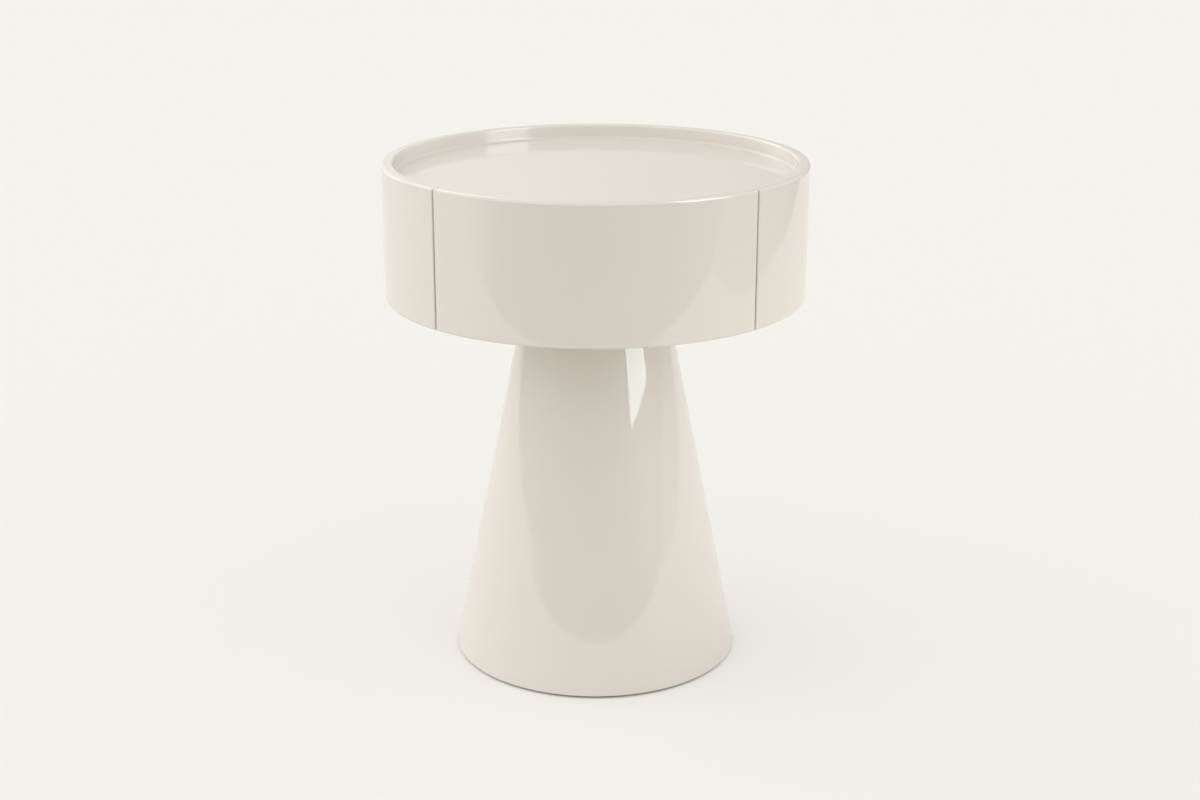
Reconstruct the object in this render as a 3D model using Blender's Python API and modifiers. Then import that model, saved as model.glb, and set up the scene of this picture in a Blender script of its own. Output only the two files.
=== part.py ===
"""Round pedestal nightstand: a lacquered drum with a sunken tray top and a curved drawer, on a hollow cone.

Units are metres, +Z is up, and the origin is on the floor under the middle of the drum.
The drawer opens towards -Y. Left and right are as seen by someone who faces the drawer.
"""

import math

import bmesh
import bpy
from mathutils import Vector

# Drum
TOTAL_HEIGHT = 0.559
DRUM_DIAMETER = 0.457
DRUM_HEIGHT = 0.146
DRUM_WALL = 0.013
RIM_EDGE_RADIUS = 0.005
INNER_EDGE_RADIUS = 0.0025
SEAM_EDGE_RADIUS = 0.0012
FRONT_ARC = math.radians(90.0)
SEAM_GAP = 0.002
TRAY_DEPTH = 0.0155
TRAY_THICKNESS = 0.012
TRAY_EDGE_RADIUS = 0.001
BOTTOM_THICKNESS = 0.012
BOTTOM_RECESS = 0.002
FRONT_CLEARANCE = 0.0025
FINGER_NOTCH_RADIUS = 0.055
FINGER_NOTCH_DEPTH = 0.028
UPRIGHT_THICKNESS = 0.015
UPRIGHT_SETBACK = 0.006
BUMPER_RADIUS = 0.004

# Pedestal
CONE_TOP_DIAMETER = 0.152
CONE_FOOT_DIAMETER = 0.318
CONE_WALL = 0.012
FOOT_EDGE_RADIUS = 0.0015
FLOOR_GAP = 0.0025
PLATE_THICKNESS = 0.018
GLIDE_HEIGHT = 0.004
GLIDE_RADIUS = 0.012
GLIDE_EDGE_RADIUS = 0.001
GLIDE_NAIL_RADIUS = 0.0014
GLIDE_NAIL_LENGTH = 0.012
GLIDE_INSET = 0.03
GLIDE_COUNT = 4
BOLT_COUNT = 4
BOLT_RADIUS = 0.003
BOLT_BITE = 0.012
BOLT_HEAD_RADIUS = 0.0055
BOLT_HEAD_HEIGHT = 0.0035
BOLT_SOCKET_RADIUS = 0.0023
BOLT_SOCKET_DEPTH = 0.002
BOLT_CIRCLE_DIAMETER = 0.09
BOLT_HEAD_CLEARANCE = 0.0055
WASHER_RADIUS = 0.008
WASHER_THICKNESS = 0.0012

# Drawer box
BOARD = 0.012
DRAWER_TOP_CLEARANCE = 0.016
DRAWER_BOTTOM_THICKNESS = 0.006
DRAWER_BOTTOM_SETUP = 0.008
GROOVE_DEPTH = 0.005
CORNER_BLOCK_WIDTH = 0.022
CORNER_BLOCK_DEPTH = 0.02
FRONT_SCREW_BITE = 0.007
FRONT_SCREW_INSET = 0.016

# Ball-bearing runners
RUNNER_LENGTH = 0.25
RUNNER_SETBACK = 0.012
RUNNER_HEIGHT = 0.035
RUNNER_THICKNESS = 0.0127
SHEET = 0.0012
BALL_RADIUS = 0.00135
CAGE_SHEET = 0.0006
CAGE_LENGTH = 0.12
CAGE_SETBACK = 0.062
BALLS_PER_ROW = 4
RAIL_TIP_GAP = 0.0015
RAIL_SCREW_INSET = 0.03
RAIL_SCREW_BITE = 0.009

# Countersunk wood screws
SCREW_RADIUS = 0.0017
SCREW_HEAD_RADIUS = 0.0034
SCREW_HEAD_HEIGHT = 0.0019
SCREW_TIP = 0.003
RECESS_WIDTH = 0.0009
RECESS_LENGTH = 0.0036
RECESS_DEPTH = 0.0011

# Clearances and fineness
SEAT_GAP = 0.0003
CUT_PAST = 0.004
ROUND_STEPS = 80
SMALL_STEPS = 12
EDGE_SEGMENTS = 2
FOOT_EDGE_SEGMENTS = 2
BALL_SIDES = 6
BALL_RINGS = 4
SHARP_ANGLE = math.radians(30)
FLAT_ANGLE = 0.01
WELD = 0.000001
TURN_WELD = 0.00001

# Places worked out from the sizes
OUTER_RADIUS = DRUM_DIAMETER / 2
INNER_RADIUS = OUTER_RADIUS - DRUM_WALL
DRUM_BASE_Z = TOTAL_HEIGHT - DRUM_HEIGHT
TRAY_TOP_Z = TOTAL_HEIGHT - TRAY_DEPTH
TRAY_UNDERSIDE_Z = TRAY_TOP_Z - TRAY_THICKNESS
BOTTOM_UNDERSIDE_Z = DRUM_BASE_Z + BOTTOM_RECESS
BOTTOM_TOP_Z = BOTTOM_UNDERSIDE_Z + BOTTOM_THICKNESS
SEAT_RADIUS = INNER_RADIUS - SEAT_GAP
CLEAR_RADIUS = INNER_RADIUS - FRONT_CLEARANCE
HALF_FRONT = FRONT_ARC / 2
HALF_SEAM = SEAM_GAP / 2 / OUTER_RADIUS

UPRIGHT_OUTER_X = INNER_RADIUS * math.sin(HALF_FRONT) - UPRIGHT_SETBACK
UPRIGHT_INNER_X = UPRIGHT_OUTER_X - UPRIGHT_THICKNESS
DRAWER_HALF_WIDTH = UPRIGHT_INNER_X - RUNNER_THICKNESS - 2 * SEAT_GAP
BOX_INNER_X = DRAWER_HALF_WIDTH - BOARD
RUNNER_FRONT_Y = RUNNER_SETBACK - math.sqrt(CLEAR_RADIUS**2 - UPRIGHT_INNER_X**2)
RUNNER_BACK_Y = RUNNER_FRONT_Y + RUNNER_LENGTH
BOX_BASE_Z = BOTTOM_TOP_Z + WASHER_THICKNESS + BOLT_HEAD_HEIGHT + BOLT_HEAD_CLEARANCE
BOX_TOP_Z = TRAY_UNDERSIDE_Z - DRAWER_TOP_CLEARANCE
RUNNER_Z = (BOX_BASE_Z + BOX_TOP_Z) / 2
BOX_FLOOR_Z = BOX_BASE_Z + DRAWER_BOTTOM_SETUP
BOX_FLOOR_TOP_Z = BOX_FLOOR_Z + DRAWER_BOTTOM_THICKNESS

CONE_TOP_Z = BOTTOM_UNDERSIDE_Z - SEAT_GAP
CONE_SLOPE = math.atan2((CONE_FOOT_DIAMETER - CONE_TOP_DIAMETER) / 2, CONE_TOP_Z - FLOOR_GAP)
BASE_UNDERSIDE_Z = GLIDE_HEIGHT + SEAT_GAP


def clear_scene():
    for obj in list(bpy.data.objects):
        bpy.data.objects.remove(obj)


def collection(name):
    made = bpy.data.collections.new(name)
    bpy.context.scene.collection.children.link(made)
    return made


def finish(name, colour, roughness, metallic=0.0):
    made = bpy.data.materials.new(name)
    made.use_nodes = True
    shader = made.node_tree.nodes["Principled BSDF"]
    shader.inputs["Base Color"].default_value = (*colour, 1.0)
    shader.inputs["Roughness"].default_value = roughness
    shader.inputs["Metallic"].default_value = metallic
    return made


clear_scene()
PARTS = collection("nightstand")
CUTTERS = collection("cutters")
LACQUER = finish("ivory_gloss_lacquer", (0.72, 0.68, 0.60), 0.08)
BIRCH = finish("birch_plywood", (0.66, 0.50, 0.32), 0.55)
FIBREBOARD = finish("raw_fibreboard", (0.42, 0.30, 0.19), 0.8)
ZINC = finish("zinc_plated_steel", (0.62, 0.63, 0.65), 0.35, 1.0)
NYLON = finish("grey_nylon", (0.23, 0.22, 0.21), 0.6)
RUBBER = finish("clear_bumper_rubber", (0.55, 0.54, 0.50), 0.5)


# Helpers that make solids


def arc(radius, start, end):
    """Points on a circle about the origin, with angles counted from the -Y axis towards +X."""
    count = max(1, round(abs(end - start) / (2 * math.pi) * ROUND_STEPS))
    angles = [start + (end - start) * i / count for i in range(count + 1)]
    return [(radius * math.sin(a), -radius * math.cos(a)) for a in angles]


def arc_y(radius, x):
    """The y of the front of a circle about the origin, at this x."""
    return -math.sqrt(radius**2 - x**2)


def add(name, mesh, material, place=(0, 0, 0)):
    obj = bpy.data.objects.new(name, mesh)
    obj.location = place
    if material is None:
        obj.hide_render = True
        obj.display_type = "WIRE"
        CUTTERS.objects.link(obj)
    else:
        mesh.materials.clear()
        mesh.materials.append(material)
        PARTS.objects.link(obj)
    return obj


def evaluated_mesh(obj):
    """The object's shape with its modifiers in it, as a plain mesh. The object itself is removed."""
    graph = bpy.context.evaluated_depsgraph_get()
    mesh = bpy.data.meshes.new_from_object(obj.evaluated_get(graph))
    bpy.data.objects.remove(obj)
    return mesh


def outline_mesh(outline, depth):
    """A flat outline drawn as a filled 2D curve, given its thickness, and made one closed mesh."""
    curve = bpy.data.curves.new("outline", "CURVE")
    curve.dimensions = "2D"
    curve.fill_mode = "BOTH"
    curve.extrude = depth / 2
    spline = curve.splines.new("POLY")
    spline.points.add(len(outline) - 1)
    spline.use_cyclic_u = True
    for point, (x, y) in zip(spline.points, outline):
        point.co = (x, y, 0, 1)
    drawn = bpy.data.objects.new("outline", curve)
    CUTTERS.objects.link(drawn)
    mesh = evaluated_mesh(drawn)
    shape = bmesh.new()
    shape.from_mesh(mesh)
    bmesh.ops.remove_doubles(shape, verts=shape.verts, dist=WELD)
    bmesh.ops.dissolve_limit(shape, angle_limit=FLAT_ANGLE, verts=shape.verts, edges=shape.edges)
    bmesh.ops.recalc_face_normals(shape, faces=shape.faces)
    shape.to_mesh(mesh)
    shape.free()
    mesh.shade_smooth()
    mesh.set_sharp_from_angle(angle=SHARP_ANGLE)
    return mesh


def slab(name, outline, low, high, material):
    """A level board with this outline, from height low to height high."""
    return add(name, outline_mesh(outline, high - low), material, (0, 0, (low + high) / 2))


def strip(name, section, front, back, material):
    """A section in X and Z, run along Y from front to back."""
    obj = add(name, outline_mesh(section, back - front), material, (0, (front + back) / 2, 0))
    obj.rotation_euler.x = math.pi / 2
    return obj


def turned(name, profile, material, steps=SMALL_STEPS, ring=False, place=(0, 0, 0)):
    """A profile of (radius, height) points, top to bottom on its outer side, turned about Z."""
    count = len(profile)
    mesh = bpy.data.meshes.new(name)
    edges = [(i, (i + 1) % count) for i in range(count if ring else count - 1)]
    mesh.from_pydata([(radius, 0, height) for radius, height in profile], edges, [])
    obj = add(name, mesh, material, place)
    screw = obj.modifiers.new("Turn", "SCREW")
    screw.steps = screw.render_steps = steps
    screw.use_merge_vertices = True
    screw.merge_threshold = TURN_WELD
    screw.use_smooth_shade = True
    return obj


def soften(obj, radius, segments, share):
    """Rounds a slab's sharp edges, each by the share of this radius that its two ends call for."""
    shape = bmesh.new()
    shape.from_mesh(obj.data)
    weight = shape.edges.layers.float.new("bevel_weight_edge")
    for edge in shape.edges:
        if edge.calc_face_angle(0) > SHARP_ANGLE:
            edge[weight] = share(edge.verts[0].co, edge.verts[1].co)
    shape.to_mesh(obj.data)
    shape.free()
    bevel = obj.modifiers.new("Rounded edges", "BEVEL")
    bevel.limit_method = "WEIGHT"
    bevel.width = radius
    bevel.segments = segments


def boolean(obj, other, operation="DIFFERENCE"):
    step = obj.modifiers.new(other.name, "BOOLEAN")
    step.operation = operation
    step.object = other


def point_along(obj, direction):
    """Turns an object whose length runs down from its origin so that it runs along direction."""
    turn = Vector((0, 0, -1)).rotation_difference(Vector(direction))
    obj.rotation_euler = turn.to_euler()


# Fasteners


def screw_profile(length, gap=0.0):
    """Half of a countersunk screw, or with a gap half of the hole that it sits in."""
    shank = SCREW_RADIUS + gap
    head = SCREW_HEAD_RADIUS + gap
    sides = [
        (head, 0),
        (shank, -SCREW_HEAD_HEIGHT),
        (shank, -(length - SCREW_TIP)),
        (0, -(length + gap)),
    ]
    return [(0, CUT_PAST), (head, CUT_PAST), *sides] if gap else [(0, 0), *sides]


def screw_mesh(length):
    """One screw with a cross recess, to be shared by every screw of this length."""
    blank = turned("screw_blank", screw_profile(length), ZINC)
    cutters = []
    for width, depth in ((RECESS_LENGTH, RECESS_WIDTH), (RECESS_WIDTH, RECESS_LENGTH)):
        cutter = box_cutter("cross_recess", width, depth, 2 * RECESS_DEPTH)
        boolean(blank, cutter)
        cutters.append(cutter)
    mesh = evaluated_mesh(blank)
    for cutter in cutters:
        bpy.data.objects.remove(cutter)
    return mesh


def box_cutter(name, width, depth, height):
    shape = bmesh.new()
    bmesh.ops.create_cube(shape, size=1.0)
    bmesh.ops.scale(shape, vec=(width, depth, height), verts=shape.verts)
    mesh = bpy.data.meshes.new(name)
    shape.to_mesh(mesh)
    shape.free()
    return add(name, mesh, None)


def round_cutter(name, radius, low, high, x, y, steps=SMALL_STEPS):
    shape = bmesh.new()
    bmesh.ops.create_cone(
        shape, cap_ends=True, segments=steps, radius1=radius, radius2=radius, depth=high - low
    )
    mesh = bpy.data.meshes.new(name)
    shape.to_mesh(mesh)
    shape.free()
    return add(name, mesh, None, (x, y, (low + high) / 2))


def drive_screw(name, mesh, length, place, direction, through):
    """Puts a screw in place and cuts its hole in each piece that it passes through."""
    made = add(name, mesh, ZINC, place)
    point_along(made, direction)
    hole = turned(name + "_hole", screw_profile(length, SEAT_GAP), None, place=place)
    point_along(hole, direction)
    for piece in through:
        boolean(piece, hole)


# Drum


def ring_sector(start, end):
    return arc(OUTER_RADIUS, start, end) + arc(INNER_RADIUS, end, start)


def ring_edge_share(a, b):
    """Full on the outer edges of the ring, less on its inner ones, and least beside the seams."""
    follows_ring = abs(a.xy.length - b.xy.length) < SEAT_GAP and abs(a.z - b.z) < SEAT_GAP
    if not follows_ring:
        return SEAM_EDGE_RADIUS / RIM_EDGE_RADIUS
    outer = a.xy.length > (INNER_RADIUS + OUTER_RADIUS) / 2
    return 1.0 if outer else INNER_EDGE_RADIUS / RIM_EDGE_RADIUS


def panel_edge_share(a, b):
    """Full on the edges of a panel's two faces, and none on its upright corners."""
    return 1.0 if abs(a.z - b.z) < SEAT_GAP else 0.0


def disc_outline():
    """A round board that fits inside the shell and stops short of the drawer front."""
    shell_start = HALF_FRONT + HALF_SEAM
    round_back = arc(SEAT_RADIUS, shell_start, 2 * math.pi - shell_start)
    return arc(CLEAR_RADIUS, -shell_start, shell_start) + round_back


def make_shell():
    start = HALF_FRONT + HALF_SEAM
    shell = slab("drum_shell", ring_sector(start, 2 * math.pi - start), DRUM_BASE_Z, TOTAL_HEIGHT, LACQUER)
    soften(shell, RIM_EDGE_RADIUS, EDGE_SEGMENTS, ring_edge_share)


def make_tray():
    tray = slab("tray_top", disc_outline(), TRAY_UNDERSIDE_Z, TRAY_TOP_Z, LACQUER)
    soften(tray, TRAY_EDGE_RADIUS, 1, panel_edge_share)


def make_bottom():
    """The floor of the drum, with a scoop at its front edge for the fingers that pull the drawer."""
    bottom = slab("drum_bottom", disc_outline(), BOTTOM_UNDERSIDE_Z, BOTTOM_TOP_Z, LACQUER)
    notch = round_cutter(
        "finger_notch",
        FINGER_NOTCH_RADIUS,
        BOTTOM_UNDERSIDE_Z - CUT_PAST,
        BOTTOM_TOP_Z + CUT_PAST,
        0,
        FINGER_NOTCH_DEPTH - CLEAR_RADIUS - FINGER_NOTCH_RADIUS,
        ROUND_STEPS,
    )
    boolean(bottom, notch)
    return bottom


def make_upright(name, side):
    """A board that stands between the drum's floor and its tray and carries a runner."""
    low, high = BOTTOM_TOP_Z + SEAT_GAP, TRAY_UNDERSIDE_Z - SEAT_GAP
    corners = [
        (UPRIGHT_INNER_X, arc_y(CLEAR_RADIUS, UPRIGHT_INNER_X)),
        (UPRIGHT_OUTER_X, arc_y(CLEAR_RADIUS, UPRIGHT_OUTER_X)),
        (UPRIGHT_OUTER_X, -arc_y(SEAT_RADIUS, UPRIGHT_OUTER_X)),
        (UPRIGHT_INNER_X, -arc_y(SEAT_RADIUS, UPRIGHT_INNER_X)),
    ]
    return slab(name, [(side * x, y) for x, y in corners], low, high, FIBREBOARD)


def make_bumper(name, side):
    """A soft stop on an upright's front end, which meets the back of the closed drawer front."""
    x = (UPRIGHT_INNER_X + UPRIGHT_OUTER_X) / 2
    angle = math.asin(x / CLEAR_RADIUS)
    outward = Vector((side * math.sin(angle), -math.cos(angle), 0))
    thickness = FRONT_CLEARANCE - 2 * SEAT_GAP
    profile = [(0, 0), (BUMPER_RADIUS, 0), (BUMPER_RADIUS, -thickness), (0, -thickness)]
    bumper = turned(name, profile, RUBBER)
    bumper.location = outward * (CLEAR_RADIUS + SEAT_GAP) + Vector((0, 0, RUNNER_Z))
    point_along(bumper, outward)


# Pedestal


def cone_radius(z):
    return CONE_TOP_DIAMETER / 2 + (CONE_TOP_Z - z) * math.tan(CONE_SLOPE)


def cone_bore(z):
    return cone_radius(z) - CONE_WALL / math.cos(CONE_SLOPE)


def make_cone():
    """The hollow cone. Its foot edge is rounded, by no more than the wall can take."""
    radius = min(FOOT_EDGE_RADIUS, 0.8 * CONE_WALL)
    centre = cone_radius(FLOOR_GAP) - radius * (1 + math.sin(CONE_SLOPE)) / math.cos(CONE_SLOPE)
    sweep = CONE_SLOPE + math.pi / 2
    angles = [CONE_SLOPE - sweep * i / FOOT_EDGE_SEGMENTS for i in range(FOOT_EDGE_SEGMENTS + 1)]
    foot = [(centre + radius * math.cos(a), FLOOR_GAP + radius * (1 + math.sin(a))) for a in angles]
    profile = [(CONE_TOP_DIAMETER / 2, CONE_TOP_Z), *foot]
    profile += [(cone_bore(FLOOR_GAP), FLOOR_GAP), (cone_bore(CONE_TOP_Z), CONE_TOP_Z)]
    turned("pedestal_cone", profile, LACQUER, ROUND_STEPS, ring=True)


def make_plate(name, low):
    """A round board wedged inside the cone, with its edge tapered to the bore."""
    high = low + PLATE_THICKNESS
    profile = [
        (0, high),
        (cone_bore(high) - SEAT_GAP, high),
        (cone_bore(low) - SEAT_GAP, low),
        (0, low),
    ]
    return turned(name, profile, FIBREBOARD, ROUND_STEPS)


def around(count, radius):
    """Places on a circle, the first of them half a step from the front."""
    for i in range(count):
        angle = (i + 0.5) * 2 * math.pi / count
        yield i + 1, radius * math.sin(angle), -radius * math.cos(angle)


def make_glides(base_plate):
    """Nylon pads nailed under the base plate, which lift the cone's edge off the floor."""
    flank = GLIDE_RADIUS - GLIDE_EDGE_RADIUS
    profile = [
        (0, GLIDE_HEIGHT + GLIDE_NAIL_LENGTH),
        (GLIDE_NAIL_RADIUS, GLIDE_HEIGHT + GLIDE_NAIL_LENGTH - GLIDE_NAIL_RADIUS),
        (GLIDE_NAIL_RADIUS, GLIDE_HEIGHT),
        (GLIDE_RADIUS, GLIDE_HEIGHT),
        (GLIDE_RADIUS, GLIDE_EDGE_RADIUS),
        (flank, 0),
        (0, 0),
    ]
    circle = cone_bore(BASE_UNDERSIDE_Z) - GLIDE_INSET
    for number, x, y in around(GLIDE_COUNT, circle):
        turned(f"foot_glide_{number}", profile, NYLON, place=(x, y, 0))
        top = GLIDE_HEIGHT + GLIDE_NAIL_LENGTH + SEAT_GAP
        hole = round_cutter(f"glide_hole_{number}", GLIDE_NAIL_RADIUS + SEAT_GAP, -CUT_PAST, top, x, y)
        boolean(base_plate, hole)


def bolt_mesh(length):
    profile = [
        (0, BOLT_HEAD_HEIGHT),
        (BOLT_HEAD_RADIUS, BOLT_HEAD_HEIGHT),
        (BOLT_HEAD_RADIUS, 0),
        (BOLT_RADIUS, 0),
        (BOLT_RADIUS, -length),
        (0, -length),
    ]
    blank = turned("bolt_blank", profile, ZINC)
    socket_low = BOLT_HEAD_HEIGHT - BOLT_SOCKET_DEPTH
    socket_high = BOLT_HEAD_HEIGHT + CUT_PAST
    socket = round_cutter("hex_socket", BOLT_SOCKET_RADIUS, socket_low, socket_high, 0, 0, 6)
    boolean(blank, socket)
    mesh = evaluated_mesh(blank)
    bpy.data.objects.remove(socket)
    return mesh


def make_bolts(bottom, top_plate):
    """Bolts and washers inside the drum that hold its floor down on the pedestal's top plate."""
    washer_z = BOTTOM_TOP_Z + SEAT_GAP
    head_z = washer_z + WASHER_THICKNESS + SEAT_GAP
    length = head_z - CONE_TOP_Z + BOLT_BITE
    mesh = bolt_mesh(length)
    hole_radius = BOLT_RADIUS + SEAT_GAP
    washer = [
        (WASHER_RADIUS, WASHER_THICKNESS),
        (WASHER_RADIUS, 0),
        (hole_radius, 0),
        (hole_radius, WASHER_THICKNESS),
    ]
    for number, x, y in around(BOLT_COUNT, BOLT_CIRCLE_DIAMETER / 2):
        add(f"pedestal_bolt_{number}", mesh, ZINC, (x, y, head_z))
        turned(f"pedestal_washer_{number}", washer, ZINC, ring=True, place=(x, y, washer_z))
        hole = round_cutter(
            f"bolt_hole_{number}", hole_radius, head_z - length - SEAT_GAP, head_z + CUT_PAST, x, y
        )
        boolean(bottom, hole)
        boolean(top_plate, hole)


# Drawer


def floor_outline(gap):
    """The drawer's floor, let into grooves in the sides and the curved front, or those grooves."""
    half = BOX_INNER_X + GROOVE_DEPTH - SEAT_GAP + gap
    radius = INNER_RADIUS + GROOVE_DEPTH - SEAT_GAP + gap
    reach = math.asin(half / radius)
    back = RUNNER_BACK_Y + gap
    return [*arc(radius, -reach, reach), (half, back), (-half, back)]


def make_drawer_front():
    half = HALF_FRONT - HALF_SEAM
    front = slab("drawer_front", ring_sector(-half, half), DRUM_BASE_Z, TOTAL_HEIGHT, LACQUER)
    soften(front, RIM_EDGE_RADIUS, EDGE_SEGMENTS, ring_edge_share)
    return front


def make_drawer_side(name, side):
    corners = [
        (BOX_INNER_X, arc_y(SEAT_RADIUS, BOX_INNER_X)),
        (DRAWER_HALF_WIDTH, arc_y(SEAT_RADIUS, DRAWER_HALF_WIDTH)),
        (DRAWER_HALF_WIDTH, RUNNER_BACK_Y),
        (BOX_INNER_X, RUNNER_BACK_Y),
    ]
    return slab(name, [(side * x, y) for x, y in corners], BOX_BASE_Z, BOX_TOP_Z, BIRCH)


def make_drawer_back():
    half = BOX_INNER_X - SEAT_GAP
    front = RUNNER_BACK_Y - BOARD
    corners = [(-half, front), (half, front), (half, RUNNER_BACK_Y), (-half, RUNNER_BACK_Y)]
    slab("drawer_back", corners, BOX_FLOOR_TOP_Z + SEAT_GAP, BOX_TOP_Z, BIRCH)


def block_places():
    """Inner and outer x and back y of the block in the drawer's front corner, on the right."""
    outer = BOX_INNER_X - SEAT_GAP
    return outer - CORNER_BLOCK_WIDTH, outer, arc_y(SEAT_RADIUS, outer) + CORNER_BLOCK_DEPTH


def make_corner_block(name, side):
    """A glue block that ties a drawer side to the curved front."""
    inner, outer, back = block_places()
    middle = (inner + outer) / 2
    curved = [(x, arc_y(SEAT_RADIUS, x)) for x in (inner, middle, outer)]
    outline = [*curved, (outer, back), (inner, back)]
    low = BOX_FLOOR_TOP_Z + SEAT_GAP
    return slab(name, [(side * x, y) for x, y in outline], low, BOX_TOP_Z, BIRCH)


def make_drawer():
    front = make_drawer_front()
    make_drawer_back()
    slab("drawer_bottom", floor_outline(0.0), BOX_FLOOR_Z, BOX_FLOOR_TOP_Z, BIRCH)
    groove = slab(
        "floor_groove", floor_outline(SEAT_GAP), BOX_FLOOR_Z - SEAT_GAP, BOX_FLOOR_TOP_Z + SEAT_GAP, None
    )
    boolean(front, groove)
    inner, outer, back = block_places()
    x = (inner + outer) / 2
    length = back - arc_y(INNER_RADIUS, x) + FRONT_SCREW_BITE
    mesh = screw_mesh(length)
    heights = (BOX_FLOOR_TOP_Z + FRONT_SCREW_INSET, BOX_TOP_Z - FRONT_SCREW_INSET)
    sides = {}
    for name, side in (("left", -1), ("right", 1)):
        sides[side] = make_drawer_side(f"drawer_{name}_side", side)
        boolean(sides[side], groove)
        block = make_corner_block(f"{name}_corner_block", side)
        for place, height in zip(("lower", "upper"), heights):
            screw = f"{name}_front_screw_{place}"
            drive_screw(screw, mesh, length, (side * x, back, height), (0, -1, 0), (block, front))
    return sides


# Runners


def channel(side, web, tip, half_height, sheet):
    """A channel section. Web and tip are depths from the upright, and the channel opens to its tip."""
    inner = web + math.copysign(sheet, tip - web)
    level = half_height - sheet
    upper = [(web, half_height), (tip, half_height), (tip, level), (inner, level)]
    whole = upper + [(depth, -height) for depth, height in reversed(upper)]
    return [(side * (UPRIGHT_INNER_X - SEAT_GAP - depth), RUNNER_Z + z) for depth, z in whole]


def ball_rows(name, side, depth, height, start):
    """The balls of one cage, in a row above and a row below, as one cutter that joins them to it."""
    shape = bmesh.new()
    pitch = CAGE_LENGTH / BALLS_PER_ROW
    for row in (-1, 1):
        for i in range(BALLS_PER_ROW):
            x = side * (UPRIGHT_INNER_X - SEAT_GAP - depth)
            place = Vector((x, start + (i + 0.5) * pitch, RUNNER_Z + row * height))
            made = bmesh.ops.create_uvsphere(
                shape, u_segments=BALL_SIDES, v_segments=BALL_RINGS, radius=BALL_RADIUS
            )
            bmesh.ops.translate(shape, vec=place, verts=made["verts"])
    mesh = bpy.data.meshes.new(name)
    shape.to_mesh(mesh)
    shape.free()
    return add(name, mesh, None)


def make_cage(name, side, web, tip, race):
    """A ball cage that floats between two rails. Race is the height of the lower rail's track."""
    middle = race + SEAT_GAP + BALL_RADIUS
    start = RUNNER_FRONT_Y + CAGE_SETBACK
    section = channel(side, web, tip, middle + CAGE_SHEET / 2, CAGE_SHEET)
    cage = strip(name, section, start, start + CAGE_LENGTH, ZINC)
    boolean(cage, ball_rows(name + "_balls", side, (web + tip) / 2, middle, start), "UNION")


def make_runner(name, side, upright, drawer_side):
    """A full-extension runner: three nested channels with a ball cage in each of its two gaps."""
    race_gap = 2 * (BALL_RADIUS + SEAT_GAP)
    outer_half = RUNNER_HEIGHT / 2
    middle_half = outer_half - SHEET - race_gap
    drawer_half = middle_half - SHEET - race_gap
    outer_cage_web = SHEET + SEAT_GAP
    middle_web = outer_cage_web + CAGE_SHEET + SEAT_GAP
    inner_cage_web = middle_web + SHEET + SEAT_GAP
    drawer_tip = inner_cage_web + CAGE_SHEET + RAIL_TIP_GAP
    tip = RUNNER_THICKNESS - SHEET - RAIL_TIP_GAP
    cage_tip = tip - RAIL_TIP_GAP
    sections = {
        f"{name}_cabinet_rail": channel(side, 0.0, tip, outer_half, SHEET),
        f"{name}_middle_rail": channel(side, middle_web, tip, middle_half, SHEET),
        f"{name}_drawer_rail": channel(side, RUNNER_THICKNESS, drawer_tip, drawer_half, SHEET),
    }
    rails = {}
    for rail, section in sections.items():
        rails[rail] = strip(rail, section, RUNNER_FRONT_Y, RUNNER_BACK_Y, ZINC)
    make_cage(f"{name}_outer_ball_cage", side, outer_cage_web, cage_tip, middle_half)
    make_cage(f"{name}_inner_ball_cage", side, inner_cage_web, cage_tip, drawer_half)

    length = SHEET + RAIL_SCREW_BITE
    mesh = screw_mesh(length)
    fixings = (
        (f"{name}_cabinet_rail", UPRIGHT_INNER_X - SEAT_GAP - SHEET, side, upright),
        (f"{name}_drawer_rail", DRAWER_HALF_WIDTH + SEAT_GAP + SHEET, -side, drawer_side),
    )
    for rail, x, towards, board in fixings:
        ends = (RUNNER_FRONT_Y + RAIL_SCREW_INSET, RUNNER_BACK_Y - RAIL_SCREW_INSET)
        for end, y in zip(("front", "rear"), ends):
            place = (side * x, y, RUNNER_Z)
            through = (rails[rail], board)
            drive_screw(f"{rail}_screw_{end}", mesh, length, place, (towards, 0, 0), through)


def main():
    make_shell()
    make_tray()
    bottom = make_bottom()
    make_cone()
    top_plate = make_plate("pedestal_top_plate", CONE_TOP_Z - PLATE_THICKNESS)
    base_plate = make_plate("pedestal_base_plate", BASE_UNDERSIDE_Z)
    make_glides(base_plate)
    make_bolts(bottom, top_plate)
    drawer_sides = make_drawer()
    for name, side in (("left", -1), ("right", 1)):
        upright = make_upright(f"{name}_upright", side)
        make_bumper(f"{name}_bumper", side)
        make_runner(name, side, upright, drawer_sides[side])


main()
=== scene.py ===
# %% [markdown]
# # A round pedestal nightstand in gloss lacquer
#
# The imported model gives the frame: every solid at its real size, in metres, with the drawer shut.
# This lesson dresses that frame. It makes finer meshes for the pieces that show, gives every piece the
# finish that the real one has, and lights the result like a plain studio photograph.

# %% Load the frame
import math

import bmesh
import bpy
from mathutils import Matrix, Vector


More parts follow.
